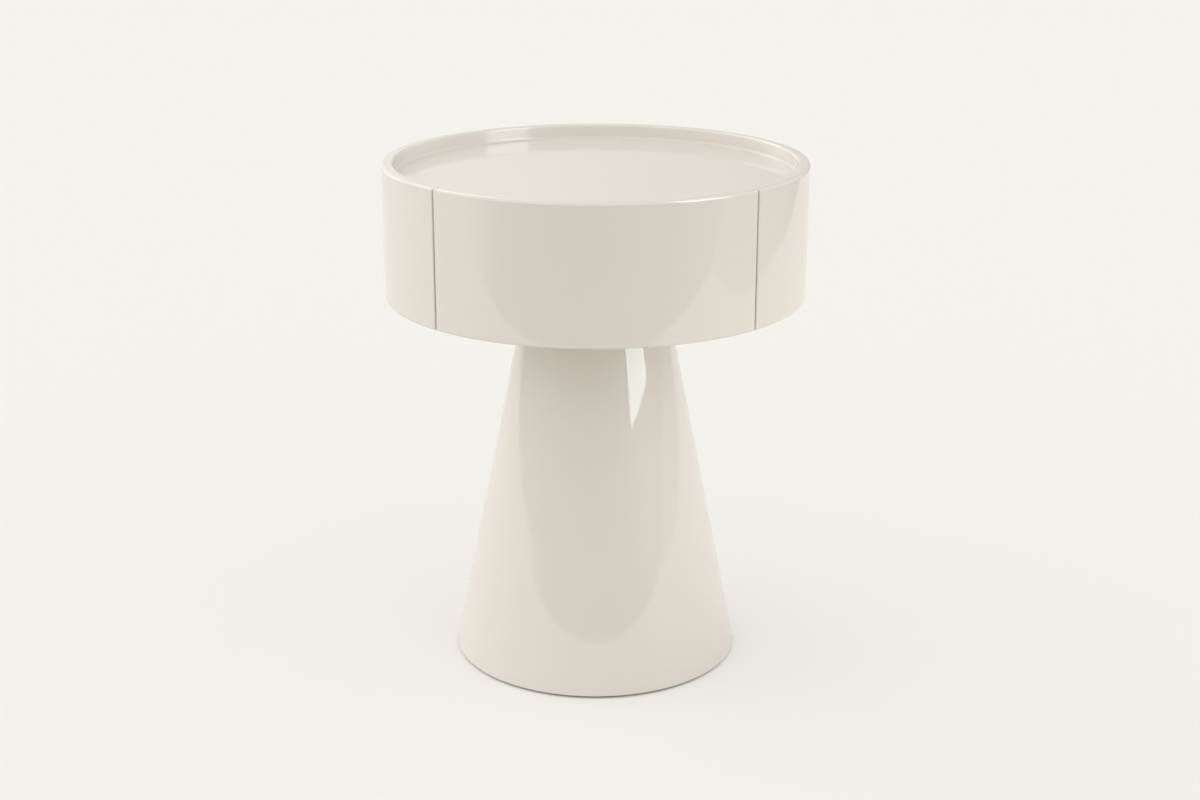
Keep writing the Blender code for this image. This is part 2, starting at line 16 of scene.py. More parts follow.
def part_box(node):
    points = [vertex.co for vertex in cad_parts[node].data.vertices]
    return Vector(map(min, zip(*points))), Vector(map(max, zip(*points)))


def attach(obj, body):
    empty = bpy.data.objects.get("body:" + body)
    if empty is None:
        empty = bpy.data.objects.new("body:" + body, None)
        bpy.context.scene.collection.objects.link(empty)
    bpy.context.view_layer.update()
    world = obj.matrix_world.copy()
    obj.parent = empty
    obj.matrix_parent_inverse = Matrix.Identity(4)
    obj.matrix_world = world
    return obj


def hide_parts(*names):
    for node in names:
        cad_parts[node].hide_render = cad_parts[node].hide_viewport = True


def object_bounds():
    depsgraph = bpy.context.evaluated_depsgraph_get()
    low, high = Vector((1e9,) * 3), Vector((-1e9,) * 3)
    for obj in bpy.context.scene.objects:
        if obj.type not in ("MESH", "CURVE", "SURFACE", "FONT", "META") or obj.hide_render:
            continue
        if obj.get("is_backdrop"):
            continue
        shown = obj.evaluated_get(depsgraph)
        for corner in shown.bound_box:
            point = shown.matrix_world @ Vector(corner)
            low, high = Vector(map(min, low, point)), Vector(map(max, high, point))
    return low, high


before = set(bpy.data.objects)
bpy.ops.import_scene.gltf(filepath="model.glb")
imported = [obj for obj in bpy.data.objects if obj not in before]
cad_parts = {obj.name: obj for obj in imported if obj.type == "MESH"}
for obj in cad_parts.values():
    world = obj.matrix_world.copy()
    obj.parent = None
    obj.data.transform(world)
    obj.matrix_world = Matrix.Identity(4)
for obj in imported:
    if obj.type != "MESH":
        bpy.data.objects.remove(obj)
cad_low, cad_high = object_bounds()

# %% [markdown]
# ## Sizes
#
# Sizes are read from the frame where a box can give them, so that the looks follow the solids.
# A box can't give an edge radius or the width of a seam. Those few are written here, in metres.

# %% Sizes of the drum
MM = 0.001
SEAT_GAP = 0.3 * MM

shell_low, shell_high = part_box("drum_shell")
tray_low, tray_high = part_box("tray_top")

OUTER_RADIUS = shell_high.y
INNER_RADIUS = tray_high.y + SEAT_GAP
SEAT_RADIUS = tray_high.y
CLEAR_RADIUS = -tray_low.y
DRUM_BASE_Z, RIM_Z = shell_low.z, shell_high.z
TRAY_Z = tray_high.z
HALF_FRONT = math.radians(45)
SEAM_GAP = 2.0 * MM

print(f"drum {2000 * OUTER_RADIUS:.0f} mm across, rim at {1000 * RIM_Z:.0f} mm")

# %% [markdown]
# ## Two small tools for materials
#
# Colours are written as sRGB hex values, as a paint chart gives them. Blender's shaders work in linear
# light, so one function converts them. Another adds a node to any tree with its settings and links.

# %% Colour and node helpers


def linear(hex_colour):
    """An sRGB hex colour as the linear RGBA that a shader takes."""
    parts = [int(hex_colour[i:i + 2], 16) / 255 for i in (1, 3, 5)]
    return (*[p / 12.92 if p <= 0.04045 else ((p + 0.055) / 1.055) ** 2.4 for p in parts], 1.0)


def add_node(tree, kind, inputs=None, **settings):
    """One node. Each input is a value, or another node's output socket to link."""
    node = tree.nodes.new(kind)
    for name, value in settings.items():
        setattr(node, name, value)
    for key, value in (inputs or {}).items():
        if isinstance(value, bpy.types.NodeSocket):
            tree.links.new(value, node.inputs[key])
        else:
            node.inputs[key].default_value = value
    return node


def start_material(name, **constants):
    """A material with its shader, its Object coordinates, and the shader's constant values."""
    material = bpy.data.materials.new(name)
    material.use_nodes = True
    tree = material.node_tree
    shader = tree.nodes["Principled BSDF"]
    for label, value in constants.items():
        shader.inputs[label.replace("_", " ")].default_value = value
    place = tree.nodes.new("ShaderNodeTexCoord").outputs["Object"]
    return material, tree, shader, place


def per_metre(size_mm):
    """How many pattern cells of this size lie in a metre, which is a texture's scale."""
    return 1 / (size_mm * MM)


print("helpers ready, ivory is", [round(c, 3) for c in linear("#e7e2dc")])

# %% [markdown]
# ## Gloss polyurethane lacquer
#
# The drum, tray, front and cone are fibreboard under many sprayed and polished coats. The colour lies
# deep under a clear layer, so the shader is a soft base with a sharp clear coat over it. Spraying leaves
# a faint orange peel, a ripple a few millimetres across, which makes reflections waver slightly,
# and a very slight change of tone over a hand's width.

# %% Lacquer material
LACQUER_TONE_MM = 120
ORANGE_PEEL_MM = 3.5


def gloss_lacquer(name, light, shade):
    material, tree, shader, place = start_material(name, Roughness=0.45, Coat_Weight=1.0)
    shader.inputs["Specular IOR Level"].default_value = 0.25
    shader.inputs["Coat Roughness"].default_value = 0.03
    shader.inputs["Coat IOR"].default_value = 1.6
    tone_scale = per_metre(LACQUER_TONE_MM)
    tone = add_node(tree, "ShaderNodeTexNoise", {"Vector": place, "Scale": tone_scale, "Detail": 2.0})
    tones = {"Factor": tone.outputs["Fac"], "A": linear(light), "B": linear(shade)}
    mix = add_node(tree, "ShaderNodeMix", tones, data_type="RGBA")
    peel_scale = per_metre(ORANGE_PEEL_MM)
    peel = add_node(tree, "ShaderNodeTexNoise", {"Vector": place, "Scale": peel_scale, "Detail": 1.0})
    ripple = {"Height": peel.outputs["Fac"], "Strength": 0.02, "Distance": 0.2 * MM}
    bump = add_node(tree, "ShaderNodeBump", ripple)
    tree.links.new(mix.outputs["Result"], shader.inputs["Base Color"])
    tree.links.new(bump.outputs["Normal"], shader.inputs["Coat Normal"])
    return material


LACQUER = gloss_lacquer("ivory_gloss_polyurethane_lacquer", "#e7e2dc", "#e5dfd9")
print("made", LACQUER.name)

# %% [markdown]
# ## From a flat outline to a solid
#
# Most pieces here start as an outline on paper: arcs for the drum, straight lines for boards and rails.
# Raising the outline gives a solid, as a saw cuts a board. Modifiers do the rest on a temporary object,
# whose finished shape is then taken off as a plain mesh.

# %% Outlines and plain meshes
ROUND_STEPS = 360


def angles_to(end, count):
    """Angles from zero to this one, in equal steps."""
    return [end * i / count for i in range(count + 1)]


def arc(radius, start, end):
    """Points on a circle about the origin, with angles counted from the front towards +X."""
    count = max(2, round(abs(end - start) / (2 * math.pi) * ROUND_STEPS))
    angles = [start + turn for turn in angles_to(end - start, count)]
    return [(radius * math.sin(a), -radius * math.cos(a)) for a in angles]


def raised(outline, low, high):
    """A closed solid with this outline, from height low to height high."""
    shape = bmesh.new()
    face = shape.faces.new([shape.verts.new((x, y, low)) for x, y in outline])
    top = bmesh.ops.extrude_face_region(shape, geom=[face])["geom"]
    lifted = [v for v in top if isinstance(v, bmesh.types.BMVert)]
    bmesh.ops.translate(shape, vec=(0, 0, high - low), verts=lifted)
    bmesh.ops.recalc_face_normals(shape, faces=shape.faces)
    return shape


def mesh_of(shape):
    """The shape as a mesh."""
    mesh = bpy.data.meshes.new("blank")
    shape.to_mesh(mesh)
    shape.free()
    return mesh


def in_scene(name, data):
    """A new object in the scene, for a mesh, a curve, a lamp or a camera."""
    thing = bpy.data.objects.new(name, data)
    bpy.context.scene.collection.objects.link(thing)
    return thing


def held(data):
    """A temporary object that holds a mesh or a curve while modifiers work on it."""
    return in_scene("holder", data)


def flattened(holder):
    """The holder's shape with its modifiers in it, as a plain mesh. The holder itself is removed."""
    graph = bpy.context.evaluated_depsgraph_get()
    mesh = bpy.data.meshes.new_from_object(holder.evaluated_get(graph))
    bpy.data.objects.remove(holder)
    return mesh


print("an arc of 90 degrees has", len(arc(OUTER_RADIUS, -HALF_FRONT, HALF_FRONT)), "points")

# %% [markdown]
# ## Rounding and cutting
#
# Real edges are never quite sharp, and light on them is what makes a piece look made. A Bevel modifier
# rounds each edge by its own weight, so one piece can have a wide rounding here and a narrow one there.
# A Boolean cuts grooves and holes, as a router does in the real board.

# %% Rounding and cutting
SHARP_ANGLE = math.radians(35)


def weigh_edges(shape, share):
    """Gives each sharp edge the bevel weight that its two ends call for."""
    weight = shape.edges.layers.float.new("bevel_weight_edge")
    for edge in shape.edges:
        if edge.calc_face_angle(0) > SHARP_ANGLE:
            edge[weight] = share(edge.verts[0].co, edge.verts[1].co)


def rounded(shape, radius, segments, share):
    """The shape as a mesh, with its sharp edges rounded."""
    weigh_edges(shape, share)
    holder = held(mesh_of(shape))
    bevel = holder.modifiers.new("Rounded edges", "BEVEL")
    bevel.limit_method = "WEIGHT"
    bevel.width = radius
    bevel.segments = segments
    return flattened(holder)


def carved(mesh, *cutters):
    """The mesh with the shape of each cutter taken out of it."""
    holder = held(mesh)
    tools = [held(cutter) for cutter in cutters]
    for tool in tools:
        cut = holder.modifiers.new("Cut", "BOOLEAN")
        cut.operation = "DIFFERENCE"
        cut.solver = "EXACT"
        cut.object = tool
    result = flattened(holder)
    for tool in tools:
        bpy.data.objects.remove(tool)
    return result


print("edges turn sharp above", round(math.degrees(SHARP_ANGLE)), "degrees")

# %% [markdown]
# ## Shading a piece and handing it over
#
# Weighted normals come last: the large faces govern the shading, so that flat faces stay flat to the eye
# beside a narrow rounding. The finished piece then rides on a body of the frame, which carries it in
# every pose, and takes the place of the solids that it stands for.

# %% Shading and dressing


def shaded(mesh):
    """The mesh with smooth shading that its large faces govern."""
    mesh.shade_smooth()
    mesh.set_sharp_from_angle(angle=SHARP_ANGLE)
    holder = held(mesh)
    even = holder.modifiers.new("Even shading", "WEIGHTED_NORMAL")
    even.keep_sharp = True
    return flattened(holder)


def dress(name, mesh, material, body, slot, *nodes):
    """A finished piece at the origin, riding on a body, in place of the CAD nodes it stands for."""
    mesh = shaded(mesh)
    mesh.name = name
    mesh.materials.clear()
    mesh.materials.append(material)
    mesh.polygons.foreach_set("material_index", [0] * len(mesh.polygons))
    piece = in_scene(name, mesh)
    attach(piece, body)
    if nodes:
        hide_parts(*nodes)
    print(f"{name}: {len(mesh.polygons)} faces on {body}")


# %% [markdown]
# ## Drum wall and drawer front
#
# The wall and the drawer front are one ring, cut by two upright seams. Bent laminated fibreboard makes
# such a ring. Its rim has a wide rounding outside and a small one inside, and the cut ends beside the
# seams are only eased. The floor of the drawer sits in a groove in the front, which a Boolean cuts.

# %% Drum wall and drawer front
RIM_EDGE_RADIUS = 3.5 * MM
INNER_EDGE_RADIUS = 2.5 * MM
SEAM_EDGE_RADIUS = 1.2 * MM
RIM_SEGMENTS = 6
HALF_SEAM = SEAM_GAP / 2 / OUTER_RADIUS

shell_start = HALF_FRONT + HALF_SEAM
front_half = HALF_FRONT - HALF_SEAM
floor_low, floor_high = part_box("drawer_bottom")


def ring_share(a, b):
    """Full on the outer edges of the ring, less on its inner ones, and least beside the seams."""
    follows_ring = abs(a.xy.length - b.xy.length) < SEAT_GAP and abs(a.z - b.z) < SEAT_GAP
    if not follows_ring:
        return SEAM_EDGE_RADIUS / RIM_EDGE_RADIUS
    outer = a.xy.length > (INNER_RADIUS + OUTER_RADIUS) / 2
    return 1.0 if outer else INNER_EDGE_RADIUS / RIM_EDGE_RADIUS


def ring_piece(start, end):
    outline = arc(OUTER_RADIUS, start, end) + arc(INNER_RADIUS, end, start)
    return rounded(raised(outline, DRUM_BASE_Z, RIM_Z), RIM_EDGE_RADIUS, RIM_SEGMENTS, ring_share)


def floor_groove():
    """The space that the drawer's floor takes in the front and the sides."""
    half = floor_high.x + SEAT_GAP
    radius = SEAT_GAP - floor_low.y
    reach = math.asin(half / radius)
    outline = [*arc(radius, -reach, reach), (half, floor_high.y + MM), (-half, floor_high.y + MM)]
    return mesh_of(raised(outline, floor_low.z - SEAT_GAP, floor_high.z + SEAT_GAP))


shell_mesh = ring_piece(shell_start, 2 * math.pi - shell_start)
dress("lacquered_drum_wall", shell_mesh, LACQUER, "cabinet", "lacquer", "drum_shell")
front_mesh = carved(ring_piece(-front_half, front_half), floor_groove())
dress("lacquered_drawer_front", front_mesh, LACQUER, "drawer", "lacquer", "drawer_front")

# %% [markdown]
# ## Tray panel and drum floor
#
# The tray is a round panel inside the wall. At the front it stops short, so that the drawer front can
# pass. The drum's floor below has the same outline, with a scoop cut in its front edge: fingers reach
# up through it to pull the drawer, because the front has no handle.

# %% Tray and floor
PANEL_EDGE_RADIUS = 1.0 * MM
EDGE_SEGMENTS = 3
SCOOP_RADIUS = 55 * MM
SCOOP_DEPTH = 28 * MM
SCOOP_STEPS = 40

bottom_low, bottom_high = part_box("drum_bottom")


def panel_outline(front):
    """The round back of a panel inside the wall, closed by the given points of its front edge."""
    return front + arc(SEAT_RADIUS, shell_start, 2 * math.pi - shell_start)


def scooped_front():
    """The front edge with a round scoop: two arcs of the panel with an arc of the scoop between."""
    reach = CLEAR_RADIUS + SCOOP_RADIUS - SCOOP_DEPTH
    meet_y = -(CLEAR_RADIUS**2 - SCOOP_RADIUS**2 + reach**2) / (2 * reach)
    meet_x = math.sqrt(CLEAR_RADIUS**2 - meet_y**2)
    edge_angle = math.asin(meet_x / CLEAR_RADIUS)
    scoop_angle = math.atan2(meet_x, meet_y + reach)
    turns = [scoop_angle * (2 * i / SCOOP_STEPS - 1) for i in range(1, SCOOP_STEPS)]
    scoop = [(SCOOP_RADIUS * math.sin(a), SCOOP_RADIUS * math.cos(a) - reach) for a in turns]
    left = arc(CLEAR_RADIUS, -shell_start, -edge_angle)
    return left + scoop + arc(CLEAR_RADIUS, edge_angle, shell_start)


def every_edge(a, b):
    return 1.0


def panel(front, low, high):
    shape = raised(panel_outline(front), low, high)
    return rounded(shape, PANEL_EDGE_RADIUS, EDGE_SEGMENTS, every_edge)


plain_front = arc(CLEAR_RADIUS, -shell_start, shell_start)
tray_mesh = panel(plain_front, tray_low.z, TRAY_Z)
dress("lacquered_tray", tray_mesh, LACQUER, "cabinet", "lacquer", "tray_top")
floor_mesh = panel(scooped_front(), bottom_low.z, bottom_high.z)
dress("lacquered_drum_floor", floor_mesh, LACQUER, "cabinet", "lacquer", "drum_bottom")

# %% [markdown]
# ## Node trees
#
# Geometry Nodes make what repeats and what follows a path. Each tree is built here, with named inputs for
# its sizes, and ends in the same way: real geometry that has its material. A modifier runs the tree once,
# and the result is taken off as a plain mesh.

# %% Building and running a tree
MERGE_DISTANCE = 0.001 * MM


def geometry_tree(name, sockets):
    """An empty geometry tree with its input and output, and named inputs for its sizes."""
    tree = bpy.data.node_groups.new(name, "GeometryNodeTree")
    tree.interface.new_socket("Geometry", in_out="INPUT", socket_type="NodeSocketGeometry")
    for label, kind in sockets.items():
        tree.interface.new_socket(label, in_out="INPUT", socket_type="NodeSocket" + kind)
    tree.interface.new_socket("Geometry", in_out="OUTPUT", socket_type="NodeSocketGeometry")
    return tree, tree.nodes.new("NodeGroupInput").outputs


def finish_tree(tree, geometry, material):
    """The end of every tree: real geometry with its material."""
    real = add_node(tree, "GeometryNodeRealizeInstances", {"Geometry": geometry})
    paint = {"Geometry": real.outputs["Geometry"], "Material": material}
    painted = add_node(tree, "GeometryNodeSetMaterial", paint)
    add_node(tree, "NodeGroupOutput", {"Geometry": painted.outputs["Geometry"]})


def run_tree(tree, data, values):
    """The tree's result on this curve or mesh, as a plain mesh with merged doubles."""
    holder = held(data)
    modifier = holder.modifiers.new("Nodes", "NODES")
    modifier.node_group = tree
    for item in tree.interface.items_tree:
        if item.in_out == "INPUT" and item.name in values:
            modifier[item.identifier] = values[item.name]
    mesh = flattened(holder)
    shape = bmesh.new()
    shape.from_mesh(mesh)
    bmesh.ops.remove_doubles(shape, verts=shape.verts, dist=MERGE_DISTANCE)
    bmesh.ops.recalc_face_normals(shape, faces=shape.faces)
    shape.to_mesh(mesh)
    shape.free()
    return mesh


print("points of a tree within", MERGE_DISTANCE / MM, "mm are merged")

# %% [markdown]
# ## A profile on a path
#
# A lathe carries one profile round an axis, and a moulding carries one along a curve. Curve to Mesh does
# both: the profile is a curve of radius and height points, and the path is a circle or an arc.

# %% Sweeping and turning


def profile_curve(points):
    """A profile of (radius, height) points, closed unless it starts and ends on the axis."""
    curve = bpy.data.curves.new("profile", "CURVE")
    curve.dimensions = "3D"
    spline = curve.splines.new("POLY")
    spline.points.add(len(points) - 1)
    spline.use_cyclic_u = min(radius for radius, height in points) > 0
    for point, (radius, height) in zip(spline.points, points):
        point.co = (radius, -height, 0, 1)
    return curve


def swept(tree, profile, path, radius, caps):
    """The steps that carry a profile along a level path. Curve to Mesh turns its X out and its Y down."""
    inward = add_node(tree, "ShaderNodeMath", {0: radius, 1: -1.0}, operation="MULTIPLY")
    shift = add_node(tree, "ShaderNodeCombineXYZ", {"X": inward.outputs["Value"]})
    move = {"Geometry": profile, "Translation": shift.outputs["Vector"]}
    moved = add_node(tree, "GeometryNodeTransform", move)
    upright = add_node(tree, "GeometryNodeSetCurveNormal", {"Curve": path}, mode="Z_UP")
    sweep = {"Curve": upright.outputs["Curve"], "Profile Curve": moved.outputs["Geometry"]}
    sweep["Fill Caps"] = caps
    return add_node(tree, "GeometryNodeCurveToMesh", sweep).outputs["Mesh"]


def turning_tree(material):
    """A lathe: the profile goes once round a circle."""
    tree, sizes = geometry_tree("turned_piece", {"Circle Radius": "Float", "Steps": "Int"})
    ring = {"Resolution": sizes["Steps"], "Radius": sizes["Circle Radius"]}
    circle = add_node(tree, "GeometryNodeCurvePrimitiveCircle", ring)
    mesh = swept(tree, sizes["Geometry"], circle.outputs["Curve"], sizes["Circle Radius"], False)
    finish_tree(tree, mesh, material)
    return tree


def turned(points, material, steps):
    values = {"Circle Radius": 1.0, "Steps": steps}
    return run_tree(turning_tree(material), profile_curve(points), values)


print("a turned piece has inputs for its circle and its steps")

# %% [markdown]
# ## The pedestal
#
# The cone is rolled from thin board, filled, and lacquered like the drum. Its outside is dead straight
# from top to foot, with a crisp, barely eased edge just off the floor. One closed profile gives it all:
# down the outside, round the edge, across the foot and up the bore.

# %% The cone
CONE_TOP_RADIUS = 76 * MM
CONE_FOOT_RADIUS = 159 * MM
CONE_WALL = 12 * MM
FOOT_EDGE_RADIUS = 1.5 * MM
FOOT_EDGE_STEPS = 6

cone_low, cone_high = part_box("pedestal_cone")
CONE_SLOPE = math.atan2(CONE_FOOT_RADIUS - CONE_TOP_RADIUS, cone_high.z - cone_low.z)


def cone_profile():
    """Down the outside, round the foot's edge, and up the bore."""
    along = math.cos(CONE_SLOPE)
    centre = CONE_FOOT_RADIUS - FOOT_EDGE_RADIUS * (1 + math.sin(CONE_SLOPE)) / along
    angles = [CONE_SLOPE - turn for turn in angles_to(CONE_SLOPE + math.pi / 2, FOOT_EDGE_STEPS)]
    radius = FOOT_EDGE_RADIUS
    foot = [(centre + radius * math.cos(a), cone_low.z + radius * (1 + math.sin(a))) for a in angles]
    bore = CONE_WALL / along
    inside = [(CONE_FOOT_RADIUS - bore, cone_low.z), (CONE_TOP_RADIUS - bore, cone_high.z)]
    return [(CONE_TOP_RADIUS, cone_high.z), *foot, *inside]


cone_mesh = turned(cone_profile(), LACQUER, ROUND_STEPS)
dress("lacquered_cone", cone_mesh, LACQUER, "cabinet", "lacquer", "pedestal_cone")

# %% [markdown]
# ## The cove between wall and tray
#
# Before lacquering, the corner where the tray meets the wall is filled with a bead of putty drawn along
# with a round tool. It leaves a small hollow curve that catches a line of light. The bead follows
# the wall and stops at the seams, so a tree sweeps its profile along an arc.

# %% Cove bead
COVE_RADIUS = 3.3 * MM
COVE_SINK = 0.5 * MM
COVE_STEPS = 8
COVE_PATH_STEPS = 271
COVE_END_GAP = 1.5 * MM


def cove_profile():
    """The hollow face from the wall to the tray, closed by two sides sunk into them."""
    angles = angles_to(-math.pi / 2, COVE_STEPS)
    middle, level = INNER_RADIUS - COVE_RADIUS, TRAY_Z + COVE_RADIUS
    hollow = [(middle + COVE_RADIUS * math.cos(a), level + COVE_RADIUS * math.sin(a)) for a in angles]
    sunk = [(middle, TRAY_Z - COVE_SINK), (INNER_RADIUS + COVE_SINK, TRAY_Z - COVE_SINK)]
    return [*hollow, *sunk, (INNER_RADIUS + COVE_SINK, level)]


def bead_tree(material):
    """A moulding: the profile goes along an arc and is closed at both ends."""
    sockets = {"Path Radius": "Float", "Start Angle": "Float", "Sweep Angle": "Float", "Steps": "Int"}
    tree, sizes = geometry_tree("corner_bead", sockets)
    turn = {"Resolution": sizes["Steps"], "Radius": sizes["Path Radius"]}
    turn.update({"Start Angle": sizes["Start Angle"], "Sweep Angle": sizes["Sweep Angle"]})
    path = add_node(tree, "GeometryNodeCurveArc", turn, mode="RADIUS")
    mesh = swept(tree, sizes["Geometry"], path.outputs["Curve"], sizes["Path Radius"], True)
    finish_tree(tree, mesh, material)
    return tree


cove_start = shell_start + COVE_END_GAP / INNER_RADIUS
cove_sizes = {
    "Path Radius": INNER_RADIUS,
    "Start Angle": cove_start - math.pi / 2,
    "Sweep Angle": 2 * math.pi - 2 * cove_start,
    "Steps": COVE_PATH_STEPS,
}
cove_mesh = run_tree(bead_tree(LACQUER), profile_curve(cove_profile()), cove_sizes)
dress("lacquered_cove", cove_mesh, LACQUER, "cabinet", "lacquer")

# %% [markdown]
# ## Birch plywood
#
# The drawer box is varnished birch plywood. Its faces are pale peeled veneer with fine fibres along the
# grain, and its cut edges show the plies, light and dark in turn. A Mapping node turns each board's
# pattern so that X runs with its grain and Z through its thickness, where bands draw the plies.

# %% Birch material
PLY_PAIR_MM = 2.67
GRAIN_LENGTH_MM = 60
GRAIN_WIDTH_MM = 1.6

ALONG_X = Matrix(((0, 0, 1, 0), (1, 0, 0, 0), (0, 1, 0, 0), (0, 0, 0, 1)))
ALONG_Y = Matrix(((0, 1, 0, 0), (0, 0, 1, 0), (1, 0, 0, 0), (0, 0, 0, 1)))


def birch_plywood(name, turn):
    """Peeled and sanded birch under thin varnish: pale, fine fibres, a soft shine."""
    material, tree, shader, place = start_material(name, Coat_Weight=0.25)
    shader.inputs["Coat Roughness"].default_value = 0.3
    board = add_node(tree, "ShaderNodeMapping", {"Vector": place, "Rotation": turn}).outputs["Vector"]
    # A wave texture has 20 radians in a unit at scale 1, and a pair of plies is one full turn.
    ply_scale = 2 * math.pi / (20 * PLY_PAIR_MM * MM)
    bands = {"Vector": board, "Scale": ply_scale, "Distortion": 0.0}
    plies = add_node(tree, "ShaderNodeTexWave", bands, bands_direction="Z")
    # Real fibres are finer than a pixel, so these are drawn a few times wider.
    stretch = (per_metre(GRAIN_LENGTH_MM), per_metre(GRAIN_WIDTH_MM), per_metre(GRAIN_WIDTH_MM))
    fibre_place = add_node(tree, "ShaderNodeMapping", {"Vector": board, "Scale": stretch})
    fibres = {"Vector": fibre_place.outputs["Vector"], "Scale": 1.0, "Detail": 5.0, "Roughness": 0.65}
    grain = add_node(tree, "ShaderNodeTexNoise", fibres)
    veneer = {"Factor": grain.outputs["Fac"], "A": linear("#ecd9b4"), "B": linear("#c9a878")}
    pale = add_node(tree, "ShaderNodeMix", veneer, data_type="RGBA")
    shade = add_node(tree, "ShaderNodeMapRange", {"Value": plies.outputs["Fac"], "To Max": 0.45})
    layers = {"Factor": shade.outputs["Result"], "A": pale.outputs["Result"], "B": linear("#a9814f")}
    mix = add_node(tree, "ShaderNodeMix", layers, data_type="RGBA")
    sheen = {"Value": grain.outputs["Fac"], "To Min": 0.42, "To Max": 0.6}
    rough = add_node(tree, "ShaderNodeMapRange", sheen)
    relief = {"Height": grain.outputs["Fac"], "Strength": 0.15, "Distance": 0.2 * MM}
    bump = add_node(tree, "ShaderNodeBump", relief)
    tree.links.new(mix.outputs["Result"], shader.inputs["Base Color"])
    tree.links.new(rough.outputs["Result"], shader.inputs["Roughness"])
    tree.links.new(bump.outputs["Normal"], shader.inputs["Normal"])
    return material


SIDE_BIRCH = birch_plywood("varnished_birch_plywood_sides", ALONG_Y.to_euler())
BACK_BIRCH = birch_plywood("varnished_birch_plywood_back", (math.pi / 2, 0, 0))
FLOOR_BIRCH = birch_plywood("varnished_birch_plywood_floor", (0, 0, 0))
BLOCK_BIRCH = birch_plywood("varnished_birch_plywood_blocks", ALONG_X.to_euler())
print("a pair of plies is", PLY_PAIR_MM, "mm thick")

# %% [markdown]
# ## Drawer box
#
# Two sides, a back and a floor make the box. The sides end in a curve against the front, and blocks in
# the corners take the screws that hold it. Hands touch these boards, so their edges are eased. The
# groove for the floor and the countersinks for the screw heads are cut after that, and stay crisp.

# %% Boards, sides and back
BOARD_EDGE_RADIUS = 0.9 * MM
SIDES = (("left", -1), ("right", 1))


def curved_end(inner, outer):
    """A board's front end against the drawer front, between two distances from the middle."""
    return arc(SEAT_RADIUS, math.asin(inner / SEAT_RADIUS), math.asin(outer / SEAT_RADIUS))


def board(outline, low, high):
    return rounded(raised(outline, low, high), BOARD_EDGE_RADIUS, EDGE_SEGMENTS, every_edge)


def front_board(node, side):
    """A board whose front end fits the drawer front, in the box of its CAD node."""
    low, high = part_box(node)
    inner, outer = sorted((abs(low.x), abs(high.x)))
    outline = [*curved_end(inner, outer), (outer, high.y), (inner, high.y)]
    return board([(side * x, y) for x, y in outline], low.z, high.z)


for name, side in SIDES:
    node = f"drawer_{name}_side"
    side_mesh = carved(front_board(node, side), floor_groove())
    dress(f"birch_{node}", side_mesh, SIDE_BIRCH, "drawer", "birch_plywood", node)

back_low, back_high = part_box("drawer_back")
back_corners = [(back_low.x, back_low.y), (back_high.x, back_low.y)]
back_corners += [(back_high.x, back_high.y), (back_low.x, back_high.y)]
back_mesh = board(back_corners, back_low.z, back_high.z)
dress("birch_drawer_back", back_mesh, BACK_BIRCH, "drawer", "birch_plywood", "drawer_back")

# %% [markdown]
# ## Countersunk screws
#
# Every joint of the box and the runners is held by flat-headed screws that sit flush in a countersink.
# Their places come from the frame: a head lies on the face of its node's box that it looks out of.
# The same places give the cutters for the countersinks in the blocks and, later, in the rails.

# %% Screw places and countersinks
SCREW_HEAD_RADIUS = 3.4 * MM
SCREW_HEAD_HEIGHT = 1.9 * MM
SCREW_RADIUS = 1.7 * MM
SCREW_STEPS = 24
SCREW_HOLE_DEPTH = 3 * SCREW_HEAD_HEIGHT


def head_place(node, facing):
    """Where a fixing's head lies: the middle of the face of its node's box on that side."""
    low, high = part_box(node)
    half = (high - low) / 2
    return (low + high) / 2 + Vector([half[i] * facing[i] for i in range(3)])


def turned_towards(mesh, facing, place):
    """Turns a mesh from +Z to this direction and puts it in place."""
    turn = Vector((0, 0, 1)).rotation_difference(Vector(facing)).to_matrix().to_4x4()
    mesh.transform(Matrix.Translation(place) @ turn)
    return mesh


def countersink(node, facing, material):
    """The hole for one screw, with a hair of room round it."""
    head, shank = SCREW_HEAD_RADIUS + SEAT_GAP, SCREW_RADIUS + SEAT_GAP
    cone = [(0, MM), (head, MM), (head, 0), (shank, -SCREW_HEAD_HEIGHT)]
    profile = [*cone, (shank, -SCREW_HOLE_DEPTH), (0, -SCREW_HOLE_DEPTH)]
    return turned_towards(turned(profile, material, SCREW_STEPS), facing, head_place(node, facing))


for name, side in SIDES:
    node = f"{name}_corner_block"
    holes = [countersink(f"{name}_front_screw_{at}", (0, 1, 0), BLOCK_BIRCH) for at in ("lower", "upper")]
    block_mesh = carved(front_board(node, side), *holes)
    dress(f"birch_{node}", block_mesh, BLOCK_BIRCH, "drawer", "birch_plywood", node)

# %% [markdown]
# ## Raw fibreboard, and CAD nodes that stay
#
# Some solids are already right: flat boards that are mostly hidden. They stay as they are and only get
# their finish. The uprights and the two plates in the cone are bare medium-density fibreboard, which is
# brown, dull and finely flecked, because it is pressed from wood dust. The drawer's floor is birch.

# %% Fibreboard material and painted nodes
FLECK_MM = 1.4


def grained(name, light, shade, grain_mm, detail, relief, **constants):
    """Two tones in small grains that stand out a little, drawn larger than life to show."""
    material, tree, shader, place = start_material(name, **constants)
    grains = {"Vector": place, "Scale": per_metre(grain_mm), "Detail": detail}
    grain = add_node(tree, "ShaderNodeTexNoise", grains)
    tones = {"Factor": grain.outputs["Fac"], "A": linear(light), "B": linear(shade)}
    mix = add_node(tree, "ShaderNodeMix", tones, data_type="RGBA")
    height = {"Height": grain.outputs["Fac"], "Strength": relief, "Distance": relief * MM}
    bump = add_node(tree, "ShaderNodeBump", height)
    tree.links.new(mix.outputs["Result"], shader.inputs["Base Color"])
    tree.links.new(bump.outputs["Normal"], shader.inputs["Normal"])
    return material


